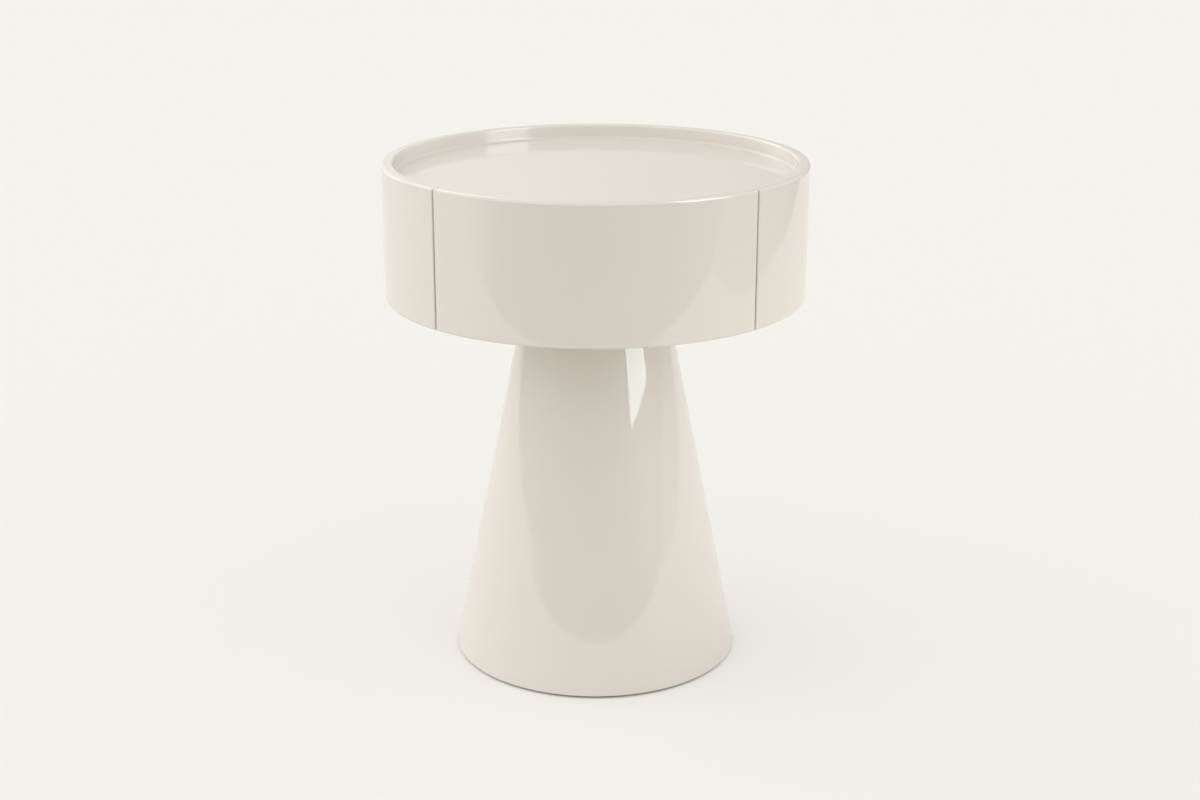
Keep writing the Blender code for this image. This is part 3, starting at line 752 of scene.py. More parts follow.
def paint(material, *nodes):
    """Gives CAD nodes that stay their finish."""
    for node in nodes:
        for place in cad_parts[node].material_slots:
            place.material = material
    print(material.name, "on", ", ".join(nodes))


# Pressed and sanded wood dust is a matt brown with small flecks.
FIBREBOARD = grained("raw_sanded_fibreboard", "#c2a277", "#8d6f49", FLECK_MM, 3.0, 0.2, Roughness=0.85)
paint(FIBREBOARD, "left_upright", "right_upright", "pedestal_top_plate", "pedestal_base_plate")
paint(FLOOR_BIRCH, "drawer_bottom")

# %% [markdown]
# ## Zinc-plated and polished steel
#
# The runners are rolled from steel strip with a bright zinc plating, a cool grey with faint lines along
# the rolling direction. The balls are hardened and polished, so they are nearly mirrors. Both are
# plain metals: only tone and roughness vary.

# %% Steel materials
ROLLING_LENGTH_MM = 40
ROLLING_WIDTH_MM = 0.8
BALL_TONE_MM = 1.5


def plated_steel(name, light, shade, smooth, rough, stretch_mm):
    """Metal with streaks that run along Y, drawn wide enough to show."""
    material, tree, shader, place = start_material(name, Metallic=1.0)
    scale = [per_metre(size) for size in stretch_mm]
    drawn = add_node(tree, "ShaderNodeMapping", {"Vector": place, "Scale": scale})
    lines = {"Vector": drawn.outputs["Vector"], "Scale": 1.0, "Detail": 4.0}
    streak = add_node(tree, "ShaderNodeTexNoise", lines)
    tones = {"Factor": streak.outputs["Fac"], "A": linear(light), "B": linear(shade)}
    mix = add_node(tree, "ShaderNodeMix", tones, data_type="RGBA")
    dull = {"Value": streak.outputs["Fac"], "To Min": smooth, "To Max": rough}
    finish = add_node(tree, "ShaderNodeMapRange", dull)
    tree.links.new(mix.outputs["Result"], shader.inputs["Base Color"])
    tree.links.new(finish.outputs["Result"], shader.inputs["Roughness"])
    return material


rolled = (ROLLING_WIDTH_MM, ROLLING_LENGTH_MM, ROLLING_WIDTH_MM)
ZINC = plated_steel("bright_zinc_plated_steel", "#d3d6da", "#b4b9bf", 0.24, 0.42, rolled)
polished = (BALL_TONE_MM, BALL_TONE_MM, BALL_TONE_MM)
BALL_STEEL = plated_steel("polished_bearing_steel", "#e2e3e4", "#cfd1d3", 0.05, 0.12, polished)
print("made", ZINC.name, "and", BALL_STEEL.name)

# %% [markdown]
# ## Runner rails
#
# A full-extension runner nests three channels. Strip steel is bent over rolls, so each channel has round
# bends where its web meets its flanges. The section is drawn with those bends and run along Y, which is
# the way the strip goes through the rolls.

# %% Channel section
BEND_STEPS = 5


def channel(web, tip, half_height, sheet, bend):
    """Half a channel section mirrored to a whole, as (height, x) points."""
    way = math.copysign(1.0, tip - web)
    turns = angles_to(math.pi / 2, BEND_STEPS)
    middle_x, middle_z = web + way * bend, half_height - bend

    def flange(radius, level):
        bent = [(middle_z + radius * math.cos(t), middle_x - way * radius * math.sin(t)) for t in turns]
        return [(level, tip), *bent]

    outer, inner = flange(bend, half_height), flange(bend - sheet, half_height - sheet)
    lower_outer = [(-z, x) for z, x in reversed(outer)]
    lower_inner = [(-z, x) for z, x in inner]
    return outer + lower_outer + lower_inner + inner[::-1]


def channel_strip(low, high, web, tip, half_height, sheet, bend):
    """A channel run along Y between two corners of a box."""
    level = (low.z + high.z) / 2
    section = [(level + z, x) for z, x in channel(web, tip, half_height, sheet, bend)]
    mesh = mesh_of(raised(section, low.y, high.y))
    mesh.transform(ALONG_Y)
    return mesh


print("each bend of a channel has", BEND_STEPS, "steps")

# %% [markdown]
# The web of a rail is punched before it is bent: slots on the middle rail, which shows when the drawer is
# open, and countersinks where a screw goes. Cutters made from the same sizes take them out here.

# %% Rails
RAIL_SHEET = 1.2 * MM
BEND_RADIUS = 1.7 * MM
SLOT_LENGTH = 22 * MM
SLOT_HEIGHT = 5 * MM
SLOT_STEPS = 8


def punched_slot(x, y, z):
    """A round-ended slot through a web at this x."""
    straight, end = (SLOT_LENGTH - SLOT_HEIGHT) / 2, SLOT_HEIGHT / 2
    turns = angles_to(math.pi, SLOT_STEPS)
    right = [(y + straight + end * math.sin(t), z - end * math.cos(t)) for t in turns]
    left = [(y - straight - end * math.sin(t), z + end * math.cos(t)) for t in turns]
    mesh = mesh_of(raised(right + left, x - 2 * RAIL_SHEET, x + 2 * RAIL_SHEET))
    mesh.transform(ALONG_X)
    return mesh


def rail(node, outward, cuts):
    """A rail in its node's box, with its web on the outer or the inner side."""
    low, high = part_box(node)
    outer, inner = sorted((low.x, high.x), key=abs, reverse=True)
    web, tip = (outer, inner) if outward else (inner, outer)
    strip = channel_strip(low, high, web, tip, (high.z - low.z) / 2, RAIL_SHEET, BEND_RADIUS)
    return carved(strip, *cuts)


RAIL_BODIES = (("cabinet", True, "cabinet"), ("middle", True, "{}_middle"), ("drawer", False, "drawer"))
SLOT_PLACES = (0.14, 0.5, 0.86)

for name, side in SIDES:
    for kind, outward, body in RAIL_BODIES:
        node = f"{name}_{kind}_rail"
        if kind == "middle":
            low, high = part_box(node)
            web = max(low.x, high.x, key=abs)
            ys = [low.y + share * (high.y - low.y) for share in SLOT_PLACES]
            cuts = [punched_slot(web, y, (low.z + high.z) / 2) for y in ys]
        else:
            facing = (-side if outward else side, 0, 0)
            cuts = [countersink(f"{node}_screw_{end}", facing, ZINC) for end in ("front", "rear")]
        dress(f"zinc_{node}", rail(node, outward, cuts), ZINC, body.format(name), "zinc_steel", node)

# %% [markdown]
# ## Ball cages
#
# Between the rails run strips of thin steel that keep the balls apart, one above and one below in each
# gap. A tree lays the rows: a line of points at the pitch of the balls, and a ball on every point.
# A ball has few faces, because there are many of them and each is under three millimetres across.

# %% Rows of balls
BALL_RADIUS = 1.35 * MM
BALL_PITCH = 8.0 * MM


def ball_tree(material):
    """Rows of balls, one row from each point of the geometry."""
    sockets = {"Ball Radius": "Float", "Balls per Row": "Int", "Pitch": "Float"}
    tree, sizes = geometry_tree("bearing_balls", sockets)
    step = add_node(tree, "ShaderNodeCombineXYZ", {"Y": sizes["Pitch"]})
    line = {"Count": sizes["Balls per Row"], "Offset": step.outputs["Vector"]}
    row = add_node(tree, "GeometryNodeMeshLine", line, mode="OFFSET")
    lay = {"Points": sizes["Geometry"], "Instance": row.outputs["Mesh"]}
    rows = add_node(tree, "GeometryNodeInstanceOnPoints", lay)
    points = add_node(tree, "GeometryNodeRealizeInstances", {"Geometry": rows.outputs["Instances"]})
    small = {"Radius": sizes["Ball Radius"], "Subdivisions": 2}
    ball = add_node(tree, "GeometryNodeMeshIcoSphere", small)
    place = {"Points": points.outputs["Geometry"], "Instance": ball.outputs["Mesh"]}
    balls = add_node(tree, "GeometryNodeInstanceOnPoints", place)
    finish_tree(tree, balls.outputs["Instances"], material)
    return tree


BALLS = ball_tree(BALL_STEEL)
print("balls sit", round(BALL_PITCH / MM), "mm apart")

# %% [markdown]
# The cage itself is a thin channel like the rails, whose flanges lie on the rows of balls. It takes the
# length of its solid, and that length gives the number of balls.

# %% Cages and balls
CAGE_SHEET = 0.6 * MM
CAGE_BEND = 1.0 * MM

for name, side in SIDES:
    for gap in ("outer", "inner"):
        node, body = f"{name}_{gap}_ball_cage", f"{name}_{gap}_cage"
        low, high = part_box(node)
        web, tip = sorted((low.x, high.x), key=abs, reverse=True)
        row_height = (high.z - low.z) / 2 - BALL_RADIUS
        cage = channel_strip(low, high, web, tip, row_height + CAGE_SHEET / 2, CAGE_SHEET, CAGE_BEND)
        dress(f"zinc_{node}", cage, ZINC, body, "zinc_steel", node)
        middle = (low + high) / 2
        first = low.y + BALL_PITCH / 2
        starts = bpy.data.meshes.new("row_starts")
        levels = (middle.z - row_height, middle.z + row_height)
        starts.from_pydata([(middle.x, first, z) for z in levels], [], [])
        count = round((high.y - low.y) / BALL_PITCH)
        sizes = {"Ball Radius": BALL_RADIUS, "Balls per Row": count, "Pitch": BALL_PITCH}
        balls = run_tree(BALLS, starts, sizes)
        dress(f"steel_{name}_{gap}_balls", balls, BALL_STEEL, body, "zinc_steel")

# %% [markdown]
# ## Fixings, set by one tree
#
# Screws, bolts, washers, foot pads and bumpers all repeat. Each is made once, upright at the origin, and
# one tree sets it on points. A point carries the direction that its fixing faces, and a seeded random
# spin gives every screw slot its own angle, as hands leave them.

# %% A tree that sets fixings
SPIN_SEED = 7


def fixing_tree(material):
    """One shape on every point, turned from +Z to the point's facing and spun about it."""
    tree, sizes = geometry_tree("set_fixings", {"Shape": "Object", "Seed": "Int"})
    shape = add_node(tree, "GeometryNodeObjectInfo", {"Object": sizes["Shape"]})
    label = {"Name": "facing"}
    named = add_node(tree, "GeometryNodeInputNamedAttribute", label, data_type="FLOAT_VECTOR")
    aim = {"Vector": named.outputs["Attribute"]}
    aimed = add_node(tree, "FunctionNodeAlignRotationToVector", aim, axis="Z")
    # Sockets 2 and 3 of Random Value are the lowest and highest number, and output 1 is the number.
    angle = add_node(tree, "FunctionNodeRandomValue", {2: 0.0, 3: 2 * math.pi, "Seed": sizes["Seed"]})
    spin = {"Axis": (0, 0, 1), "Angle": angle.outputs[1]}
    spun = add_node(tree, "FunctionNodeAxisAngleToRotation", spin)
    turn = {"Rotation": aimed.outputs["Rotation"], "Rotate By": spun.outputs["Rotation"]}
    turned_shape = add_node(tree, "FunctionNodeRotateRotation", turn, rotation_space="LOCAL")
    place = {"Points": sizes["Geometry"], "Instance": shape.outputs["Geometry"]}
    place["Rotation"] = turned_shape.outputs["Rotation"]
    placed = add_node(tree, "GeometryNodeInstanceOnPoints", place)
    finish_tree(tree, placed.outputs["Instances"], material)
    return tree


def set_fixings(shape, places, facings, material):
    """One mesh with the shape at every place."""
    points = bpy.data.meshes.new("places")
    points.from_pydata([tuple(place) for place in places], [], [])
    facing = points.attributes.new("facing", "FLOAT_VECTOR", "POINT")
    facing.data.foreach_set("vector", [part for vector in facings for part in vector])
    holder = held(shape)
    mesh = run_tree(fixing_tree(material), points, {"Shape": holder, "Seed": SPIN_SEED})
    bpy.data.objects.remove(holder)
    return mesh


print("the fixing tree turns +Z to each point's facing")

# %% [markdown]
# ## Screws
#
# A screw is turned to a flat head, a cone under it, a shank and a point. The cross recess is stamped into
# the head, here by a cutter with a plus-shaped outline. Rail screws are short and the ones through the
# corner blocks are long, so there are two shapes.

# %% Screws
SCREW_TIP = 3.0 * MM
RECESS_WIDTH = 0.9 * MM
RECESS_LENGTH = 3.6 * MM
RECESS_DEPTH = 1.1 * MM
HEAD_EASE = 0.2 * MM


def cross_outline():
    near, far = RECESS_WIDTH / 2, RECESS_LENGTH / 2
    corner = [(far, near), (near, near), (near, far)]
    points = []
    for _ in range(4):
        points += corner
        corner = [(-y, x) for x, y in corner]
    return points


def screw(length):
    """A countersunk screw whose head lies at the origin and faces +Z."""
    head, shank = SCREW_HEAD_RADIUS, SCREW_RADIUS
    profile = [
        (0, 0),
        (head - HEAD_EASE, 0),
        (head, -HEAD_EASE),
        (shank, -SCREW_HEAD_HEIGHT),
        (shank, SCREW_TIP - length),
        (0, -length),
    ]
    recess = mesh_of(raised(cross_outline(), -RECESS_DEPTH, MM))
    return carved(turned(profile, ZINC, SCREW_STEPS), recess)


def screw_set(name, body, screws, axis):
    """The screws of one length on one body. Each is a node's name and the direction its head faces."""
    nodes = list(screws)
    low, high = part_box(nodes[0])
    places = [head_place(node, facing) for node, facing in screws.items()]
    mesh = set_fixings(screw(high[axis] - low[axis]), places, screws.values(), ZINC)
    dress(name, mesh, ZINC, body, "zinc_steel", *nodes)


cabinet_screws, drawer_screws, front_screws = {}, {}, {}
for name, side in SIDES:
    for end in ("front", "rear"):
        cabinet_screws[f"{name}_cabinet_rail_screw_{end}"] = (-side, 0, 0)
        drawer_screws[f"{name}_drawer_rail_screw_{end}"] = (side, 0, 0)
    for at in ("lower", "upper"):
        front_screws[f"{name}_front_screw_{at}"] = (0, 1, 0)

screw_set("zinc_cabinet_rail_screws", "cabinet", cabinet_screws, 0)
screw_set("zinc_drawer_rail_screws", "drawer", drawer_screws, 0)
screw_set("zinc_front_screws", "drawer", front_screws, 1)

# %% [markdown]
# ## Bolts and washers
#
# Four socket-head bolts inside the drum pull its floor down on the pedestal, each over a flat washer.
# Heads are forged and then turned, so the rim has a small chamfer, and the socket is a hexagon.

# %% Bolts and washers
BOLT_HEAD_HEIGHT = 3.5 * MM
BOLT_RADIUS = 3.0 * MM
BOLT_CHAMFER = 0.5 * MM
SOCKET_RADIUS = 2.3 * MM
SOCKET_DEPTH = 2.0 * MM
WASHER_EASE = 0.15 * MM
TURN_STEPS = 32
UP = (0, 0, 1)

bolts = [f"pedestal_bolt_{number}" for number in range(1, 5)]
washers = [f"pedestal_washer_{number}" for number in range(1, 5)]


def bolt():
    """A bolt whose head's top lies at the origin."""
    low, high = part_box(bolts[0])
    head, end = (high.x - low.x) / 2, low.z - high.z
    rim, under = head - BOLT_CHAMFER, -BOLT_HEAD_HEIGHT
    profile = [(0, 0), (rim, 0), (head, -BOLT_CHAMFER), (head, under)]
    profile += [(BOLT_RADIUS, under), (BOLT_RADIUS, end), (0, end)]
    turns = [math.pi / 3 * i for i in range(6)]
    hexagon = [(SOCKET_RADIUS * math.cos(t), SOCKET_RADIUS * math.sin(t)) for t in turns]
    return carved(turned(profile, ZINC, TURN_STEPS), mesh_of(raised(hexagon, -SOCKET_DEPTH, MM)))


def washer():
    """A flat ring whose top lies at the origin."""
    low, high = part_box(washers[0])
    outer, bore, under = (high.x - low.x) / 2, BOLT_RADIUS + SEAT_GAP, low.z - high.z
    ease = WASHER_EASE
    rim = [(outer - ease, 0), (outer, -ease), (outer, under)]
    hole = [(bore, under), (bore, -ease), (bore + ease, 0)]
    return turned(rim + hole, ZINC, TURN_STEPS)


for name, shape, nodes in (("zinc_bolts", bolt(), bolts), ("zinc_washers", washer(), washers)):
    places = [head_place(node, UP) for node in nodes]
    dress(name, set_fixings(shape, places, [UP] * 4, ZINC), ZINC, "cabinet", "zinc_steel", *nodes)

# %% [markdown]
# ## Foot pads and bumpers
#
# Four nylon pads are nailed under the base plate and carry the whole piece. Two clear bumpers on the
# uprights catch the drawer front, small domes of soft resin. Both are moulded, so both have a satin
# skin, the pads opaque and the bumpers milky. Both are turned shapes, set by the fixing tree.

# %% Moulded materials
MOULD_GRAIN_MM = 0.9

# An injection-moulded skin has an even colour and a fine grain from the mould.
skin = (MOULD_GRAIN_MM, 2.0, 0.1)
NYLON = grained("moulded_grey_nylon", "#6e6b67", "#5c5955", *skin, Roughness=0.5)
milky = {"Roughness": 0.3, "Transmission_Weight": 0.5}
CLEAR_RUBBER = grained("moulded_clear_polyurethane", "#e6e3da", "#d6d2c6", *skin, **milky)
print("made", NYLON.name, "and", CLEAR_RUBBER.name)

# %% [markdown]
# A pad is a disc with a rounded lower edge and a nail in its top. A bumper is a low dome. Each profile
# runs from the axis to the axis, so the turned shape closes at its poles.

# %% Pads and bumpers
PAD_HEIGHT = 4.0 * MM
PAD_EDGE_RADIUS = 1.0 * MM
PAD_CHAMFER = 0.3 * MM
PAD_STEPS = 48
NAIL_RADIUS = 1.4 * MM
EDGE_STEPS = 4
DOME_STEPS = 8

pads = [f"foot_glide_{number}" for number in range(1, 5)]
bumpers = ["left_bumper", "right_bumper"]


def foot_pad():
    """A pad whose nail's point lies at the origin."""
    low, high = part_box(pads[0])
    radius, tall = (high.x - low.x) / 2, high.z - low.z
    top, neck, flank = PAD_HEIGHT - tall, -NAIL_RADIUS, radius - PAD_EDGE_RADIUS
    turns = angles_to(math.pi / 2, EDGE_STEPS)
    ease, edge_z = PAD_EDGE_RADIUS, PAD_EDGE_RADIUS - tall
    edge = [(flank + ease * math.cos(t), edge_z - ease * math.sin(t)) for t in turns]
    profile = [(0, 0), (NAIL_RADIUS, neck), (NAIL_RADIUS, top), (radius - PAD_CHAMFER, top)]
    return turned([*profile, (radius, top - PAD_CHAMFER), *edge, (0, -tall)], NYLON, PAD_STEPS)


def dome(radius, height):
    """A low dome whose top lies at the origin."""
    turns = angles_to(math.pi / 2, DOME_STEPS)
    curve = [(radius * math.sin(t), height * (math.cos(t) - 1)) for t in turns]
    return turned([*curve, (0, -height)], CLEAR_RUBBER, TURN_STEPS)


pad_mesh = set_fixings(foot_pad(), [head_place(node, UP) for node in pads], [UP] * 4, NYLON)
dress("nylon_foot_pads", pad_mesh, NYLON, "cabinet", "nylon", *pads)

BUMPER_RADIUS = 4.0 * MM
BUMPER_HEIGHT = 1.9 * MM
places, facings = [], []
for node in bumpers:
    low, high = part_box(node)
    middle = (low + high) / 2
    facing = Vector((middle.x, middle.y, 0)).normalized()
    places.append(middle + facing * BUMPER_HEIGHT / 2)
    facings.append(facing)
bumper_mesh = set_fixings(dome(BUMPER_RADIUS, BUMPER_HEIGHT), places, facings, CLEAR_RUBBER)
dress("clear_bumpers", bumper_mesh, CLEAR_RUBBER, "cabinet", "bumper_rubber", *bumpers)

# %% [markdown]
# ## Studio floor
#
# The photograph is a plain studio picture on pale paper without a visible edge, so the floor is one large
# matt sheet, with a round backdrop far away for low views. Paper in such a picture is lit until it is
# nearly white. A little glow of its own stands in for that extra light. It ends at the foot, under which
# no lamp reaches. The glow would light the object too much from below, so a second sheet without it takes
# over what the floor throws back.

# %% Paper
GLOW_COLOUR = "#f4f2ed"
FLOOR_GLOW = 0.486
GLOW_EDGE = (152 * MM, 160 * MM)


def matt_sheet(name, colour):
    """A sheet without gloss, with its tree, shader and place for more nodes."""
    material, tree, shader, place = start_material(name, Roughness=1.0)
    shader.inputs["Base Color"].default_value = linear(colour)
    shader.inputs["Specular IOR Level"].default_value = 0.0
    return material, tree, shader, place


def pale_paper():
    material, tree, shader, place = matt_sheet("matt_pale_paper", "#b8b7b6")
    shader.inputs["Emission Color"].default_value = linear(GLOW_COLOUR)
    # The glow fades out in a narrow ring at the foot, which paints the thin dark line of shade under its
    # edge.
    reach = add_node(tree, "ShaderNodeVectorMath", {0: place}, operation="LENGTH").outputs["Value"]
    fade = {"Value": reach, "From Min": GLOW_EDGE[0], "From Max": GLOW_EDGE[1], "To Max": FLOOR_GLOW}
    glow = add_node(tree, "ShaderNodeMapRange", fade, interpolation_type="SMOOTHSTEP")
    tree.links.new(glow.outputs["Result"], shader.inputs["Emission Strength"])
    return material


PAPER = pale_paper()
print("the paper glows from", round(GLOW_EDGE[1] / MM), "mm outwards")

# %% [markdown]
# The sheets of the studio are no part of the object, so each is declared as stage. A sheet lies level on
# the floor or stands over a line of floor points.

# %% Floor and backdrop
FLOOR_SIZE = 60.0
BACKDROP_RADIUS = 29.4
BOUNCE_DEPTH = 0.1 * MM


def staged(name, mesh, material):
    """A sheet of the studio, which isn't part of the object."""
    mesh.materials.append(material)
    sheet = in_scene(name, mesh)
    sheet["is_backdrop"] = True
    return sheet


def hide(thing, *rays):
    """Hides a sheet or a lamp from these kinds of ray."""
    for ray in rays:
        setattr(thing, "visible_" + ray, False)


def flat_sheet(name, corners, material, height=0.0):
    """A level sheet of the studio."""
    mesh = bpy.data.meshes.new(name)
    mesh.from_pydata([(x, y, height) for x, y in corners], [], [tuple(range(len(corners)))])
    return staged(name, mesh, material)


def upright_sheet(name, foot, low, high, material):
    """An upright sheet over a line of floor points, between a low and a high edge."""
    points = [(x, y, z) for edge in (low, high) for (x, y), z in zip(foot, edge)]
    count = len(foot)
    faces = [(i, i + 1, count + i + 1, count + i) for i in range(count - 1)]
    mesh = bpy.data.meshes.new(name)
    mesh.from_pydata(points, [], faces)
    return staged(name, mesh, material)


half = FLOOR_SIZE / 2
floor_corners = [(-half, -half), (half, -half), (half, half), (-half, half)]
floor = flat_sheet("studio_floor", floor_corners, PAPER)
hide(floor, "diffuse", "shadow")
round_wall = arc(BACKDROP_RADIUS, -math.pi, math.pi)
wall_foot = [0.0] * len(round_wall)
wall_head = [half] * len(round_wall)
backdrop = upright_sheet("studio_backdrop", round_wall, wall_foot, wall_head, PAPER)
hide(backdrop, "diffuse", "glossy", "shadow")
bounce_paper = matt_sheet("matt_paper_bounce", "#d6d4ce")[0]
hide(flat_sheet("floor_bounce", floor_corners, bounce_paper, -BOUNCE_DEPTH), "camera", "glossy")
print("floor", FLOOR_SIZE, "m wide")

# %% [markdown]
# ## Soft light from all round
#
# White walls and large diffusers give soft light from many sides. The world shader starts from an even
# room light that is darker on the camera's side, and adds a few wide, smooth patches. Each patch has a
# direction, as an angle round from the front and one up from the floor, and a strength.

# %% World
EVEN_LIGHT = 0.62
DARK_SIDE = 0.0
DARK_SIDE_RISE = 15
DARK_SPREAD = math.cos(math.radians(80))
SOFT_LAMPS = [
    (-140, 10, 0.38), (-105, 10, 1.03), (-50, 10, 0.7), (50, 10, 0.68), (105, 10, 0.42), (0, 45, 0.76),
]
LAMP_SPREAD = math.cos(math.radians(55))
LIGHT_COLOUR = (1.0, 0.99, 0.945, 1.0)


def light_patch(tree, direction, azimuth, elevation, spread, outside, strength):
    """A round patch of the world: its strength at the middle fades to the one outside."""
    turn, rise = math.radians(azimuth), math.radians(elevation)
    aim = (math.cos(rise) * math.sin(turn), -math.cos(rise) * math.cos(turn), math.sin(rise))
    facing = add_node(tree, "ShaderNodeVectorMath", {0: direction, 1: aim}, operation="DOT_PRODUCT")
    fade = {"Value": facing.outputs["Value"], "From Min": spread, "From Max": 1.0}
    fade.update({"To Min": outside, "To Max": strength})
    return add_node(tree, "ShaderNodeMapRange", fade, interpolation_type="SMOOTHSTEP").outputs["Result"]


def make_world():
    world = bpy.data.worlds.new("studio")
    world.use_nodes = True
    tree = world.node_tree
    direction = add_node(tree, "ShaderNodeTexCoord").outputs["Generated"]
    total = light_patch(tree, direction, 0, DARK_SIDE_RISE, DARK_SPREAD, EVEN_LIGHT, DARK_SIDE)
    for azimuth, elevation, strength in SOFT_LAMPS:
        lamp = light_patch(tree, direction, azimuth, elevation, LAMP_SPREAD, 0.0, strength)
        total = add_node(tree, "ShaderNodeMath", {0: total, 1: lamp}, operation="ADD").outputs["Value"]
    background = tree.nodes["Background"]
    tree.links.new(total, background.inputs["Strength"])
    background.inputs["Color"].default_value = LIGHT_COLOUR
    bpy.context.scene.world = world


make_world()
print("even light with", len(SOFT_LAMPS), "soft patches")

# %% [markdown]
# ## A card on the floor
#
# A lit card lies on the floor at the right. It brightens the right of the drum and the cone from below.
# The inside of the rim can't see the floor, so its left keeps the soft shade that it has in the
# photograph. The card gives light and shows neither to the camera nor in the gloss.

# %% Card
CARD_GLOW = 0.66
CARD_CORNERS = [(0.3, -0.9), (1.3, -0.9), (1.3, 0.3), (0.3, 0.3)]

card_paper, tree, shader, place = matt_sheet("matt_card", "#d8d6d0")
shader.inputs["Emission Color"].default_value = linear(GLOW_COLOUR)
shader.inputs["Emission Strength"].default_value = CARD_GLOW
# The card lies between the paper that the camera sees and the sheet that throws light back.
hide(flat_sheet("floor_card", CARD_CORNERS, card_paper, -BOUNCE_DEPTH / 2), "camera", "glossy")
print("card with a glow of", CARD_GLOW)

# %% [markdown]
# ## Softboxes in the gloss
#
# One upright softbox stands at the front right and a smaller one behind, to the left. What shows of them
# is their reflection: a bright strip down the cone and the clear shapes on the rim and the wall. The
# gloss alone sees them, so the patches above keep the balance of the light.

# %% Softboxes
SOFTBOX_COLOUR = (0.84, 0.97, 1.0)


def softbox(name, azimuth, distance, low, high, width, power):
    """An upright area light at an angle from the front."""
    light = bpy.data.lights.new(name, "AREA")
    light.shape = "RECTANGLE"
    light.size, light.size_y = width, high - low
    light.energy = power
    light.color = SOFTBOX_COLOUR
    lamp = in_scene(name, light)
    turn = math.radians(azimuth)
    lamp.location = (distance * math.sin(turn), -distance * math.cos(turn), (low + high) / 2)
    lamp.rotation_euler = (math.pi / 2, 0, turn)
    hide(lamp, "camera", "diffuse")
    print(f"{name}: {width} m wide, from {low} to {high} m")


softbox("right_softbox", 57, 2.3, low=0.38, high=3.2, width=1.15, power=50)
softbox("left_softbox", -163, 2.3, low=1.73, high=2.63, width=0.65, power=6)

# %% [markdown]
# ## The dark side of the studio
#
# The paper ends somewhere before the camera, and the unlit ground beyond it shows in the gloss as the
# soft dark middle of the drum and the cone. Two sheets of painted shade stand for it, dark in front and
# grey at the right. Only reflections see them, so the paper stays endless to the camera.

# %% Dark ground
FRONT_GROUND = [
    (-30.0, -11.5), (-2.4, -0.92), (-1.36, -1.22), (-0.5, -1.56), (0.1, -1.58), (1.0, -1.42),
    (1.88, -1.1), (30.0, -1.1), (30.0, -30.0), (-30.0, -30.0),
]
SIDE_GROUND = [(1.88, -1.1), (30.0, -1.1), (30.0, 30.0), (2.1, 30.0), (2.1, 0.5), (1.85, -0.5)]
GROUND_HEIGHT = 1.0 * MM
DARK_SHADE_TONE = "#303030"
GROUND_SOFT_SIDE = (-69, -45)


def soft_cloth(name, colour, soft_side):
    """A sheet in one tone, dark for painted shade and pale for painted light, that fades out towards the
    left, between two angles round from the front.
    """
    material, tree, shader, place = matt_sheet(name, colour)
    facing = add_node(tree, "ShaderNodeVectorMath", {0: place, 1: (1, -1, 1)}, operation="MULTIPLY")
    parts = add_node(tree, "ShaderNodeSeparateXYZ", {"Vector": facing.outputs["Vector"]}).outputs
    turn = add_node(tree, "ShaderNodeMath", {0: parts["X"], 1: parts["Y"]}, operation="ARCTAN2")
    clear, full = [math.radians(angle) for angle in soft_side]
    fade = {"Value": turn.outputs["Value"], "From Min": clear, "From Max": full}
    shown = add_node(tree, "ShaderNodeMapRange", fade, interpolation_type="SMOOTHSTEP")
    tree.links.new(shown.outputs["Result"], shader.inputs["Alpha"])
    return material


def only_in_gloss(sheet):
    hide(sheet, "camera", "diffuse", "shadow")
    print(sheet.name, "shows in reflections only")


# Painted shade seen only in reflections: a dark sheet in front and a grey one at the right.
front_shade_sheet = soft_cloth("dark_ground_painted_shade", DARK_SHADE_TONE, GROUND_SOFT_SIDE)
side_shade_sheet = matt_sheet("grey_ground_painted_shade", "#b0b0b0")[0]
only_in_gloss(flat_sheet("front_ground", FRONT_GROUND, front_shade_sheet, GROUND_HEIGHT))
only_in_gloss(flat_sheet("side_ground", SIDE_GROUND, side_shade_sheet, GROUND_HEIGHT))

# %% [markdown]
# The room behind the camera is unlit near the floor and lit above, as a studio with white walls is. A
# round curtain stands for it: dark below, which is painted shade, and pale above, which is painted light.
# The dark part is highest at its middle, and a dark hem lies on the floor at the left.
# Without it the soft patches of the world would show in the gloss as stray streaks.

# %% Curtain
CURTAIN_RADIUS = 6.0
DARK_HEIGHT = 1.4
CURTAIN_HEIGHT = 6.5
CURTAIN_ENDS = (math.radians(-142), math.radians(104))
CURTAIN_SOFT_SIDE = (-142, -108)
HEM_RADIUS = 3.2
HEM_ENDS = (math.radians(-142), math.radians(-45))
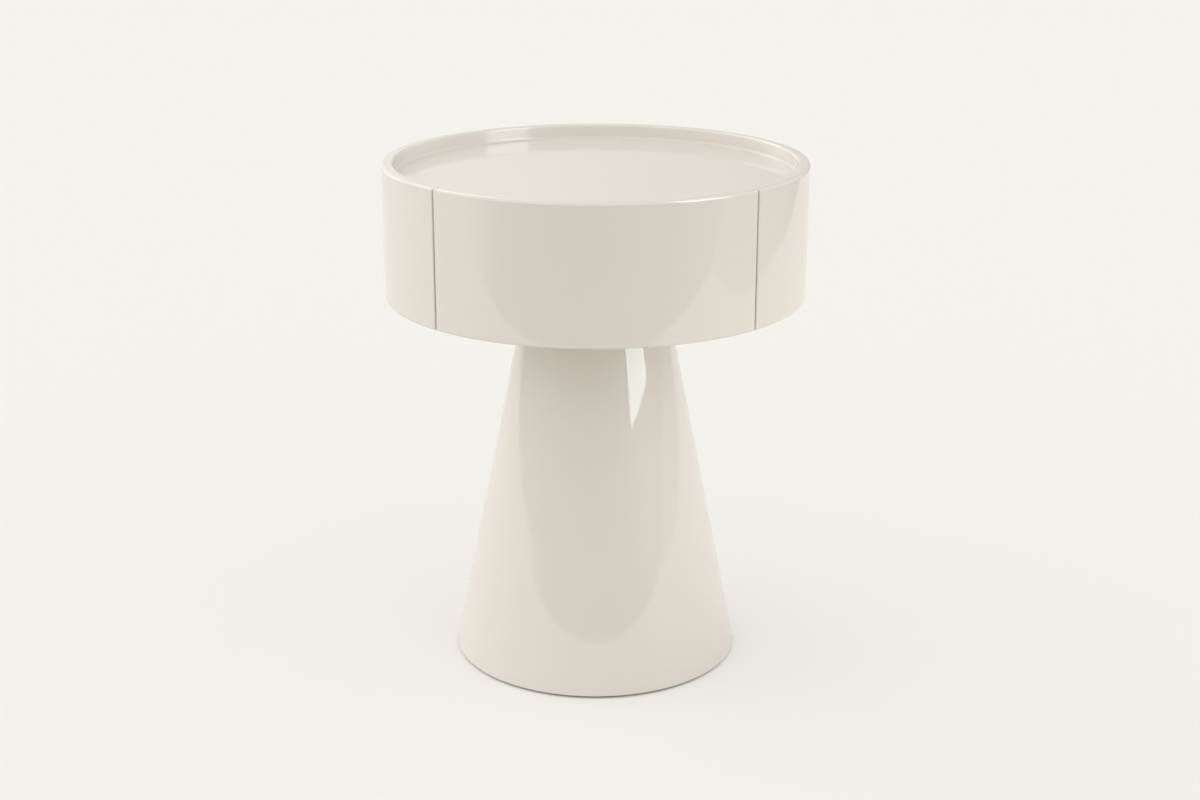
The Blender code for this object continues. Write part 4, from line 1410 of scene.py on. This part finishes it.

# Painted shade below and painted light above, two sheets seen only in reflections.
dark_curtain_painted_shade = soft_cloth("dark_curtain_painted_shade", DARK_SHADE_TONE, CURTAIN_SOFT_SIDE)
pale_curtain_painted_light = soft_cloth("pale_curtain_painted_light", "#e4e4e4", CURTAIN_SOFT_SIDE)
foot_line = arc(CURTAIN_RADIUS, *CURTAIN_ENDS)
on_floor = [0.0] * len(foot_line)
dark_edge = [DARK_HEIGHT * (1 - y / CURTAIN_RADIUS) / 2 for x, y in foot_line]
top_edge = [CURTAIN_HEIGHT] * len(foot_line)
only_in_gloss(upright_sheet("dark_curtain", foot_line, on_floor, dark_edge, dark_curtain_painted_shade))
only_in_gloss(upright_sheet("pale_curtain", foot_line, dark_edge, top_edge, pale_curtain_painted_light))
# The hem is painted shade lying on the floor at the left.
hem = arc(CURTAIN_RADIUS, *HEM_ENDS) + arc(HEM_RADIUS, *HEM_ENDS)[::-1]
only_in_gloss(flat_sheet("curtain_hem", hem, dark_curtain_painted_shade, 1.5 * GROUND_HEIGHT))

# %% [markdown]
# ## Camera
#
# The camera stands in front of the piece, a little above it, and looks down. Its place, tilt and focal
# length were fitted to the outlines in the photograph. The axis lies a few pixels off the
# middle of the picture, which a small shift gives.

# %% Camera
FOCAL_PIXELS = 1883.3
IMAGE_WIDTH = 1200
SENSOR_MM = 36.0
AXIS_PIXEL = 595.6
CAMERA_PLACE = (0.0, -1.9938, 0.9314)
CAMERA_PITCH = math.radians(17.884)


def make_camera():
    data = bpy.data.cameras.new("camera")
    data.sensor_width = SENSOR_MM
    data.lens = FOCAL_PIXELS / IMAGE_WIDTH * SENSOR_MM
    data.shift_x = (IMAGE_WIDTH / 2 - AXIS_PIXEL) / IMAGE_WIDTH
    camera = in_scene("camera", data)
    camera.location = CAMERA_PLACE
    camera.rotation_euler = (math.pi / 2 - CAMERA_PITCH, 0, 0)
    bpy.context.scene.camera = camera
    print(f"camera with a lens of {data.lens:.1f} mm")


make_camera()
bpy.context.scene.view_settings.view_transform = "Standard"

# %% [markdown]
# ## Finish
#
# This prints how far the high corner of the dressed piece's box lies past that of its solids.
# The dressed piece has to stay in the box of its solids.

# %% Finish
new_low, new_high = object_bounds()
growth = [round((new_high[i] - cad_high[i]) / MM, 2) for i in range(3)]
print("the box's high corner moves by", growth, "mm")
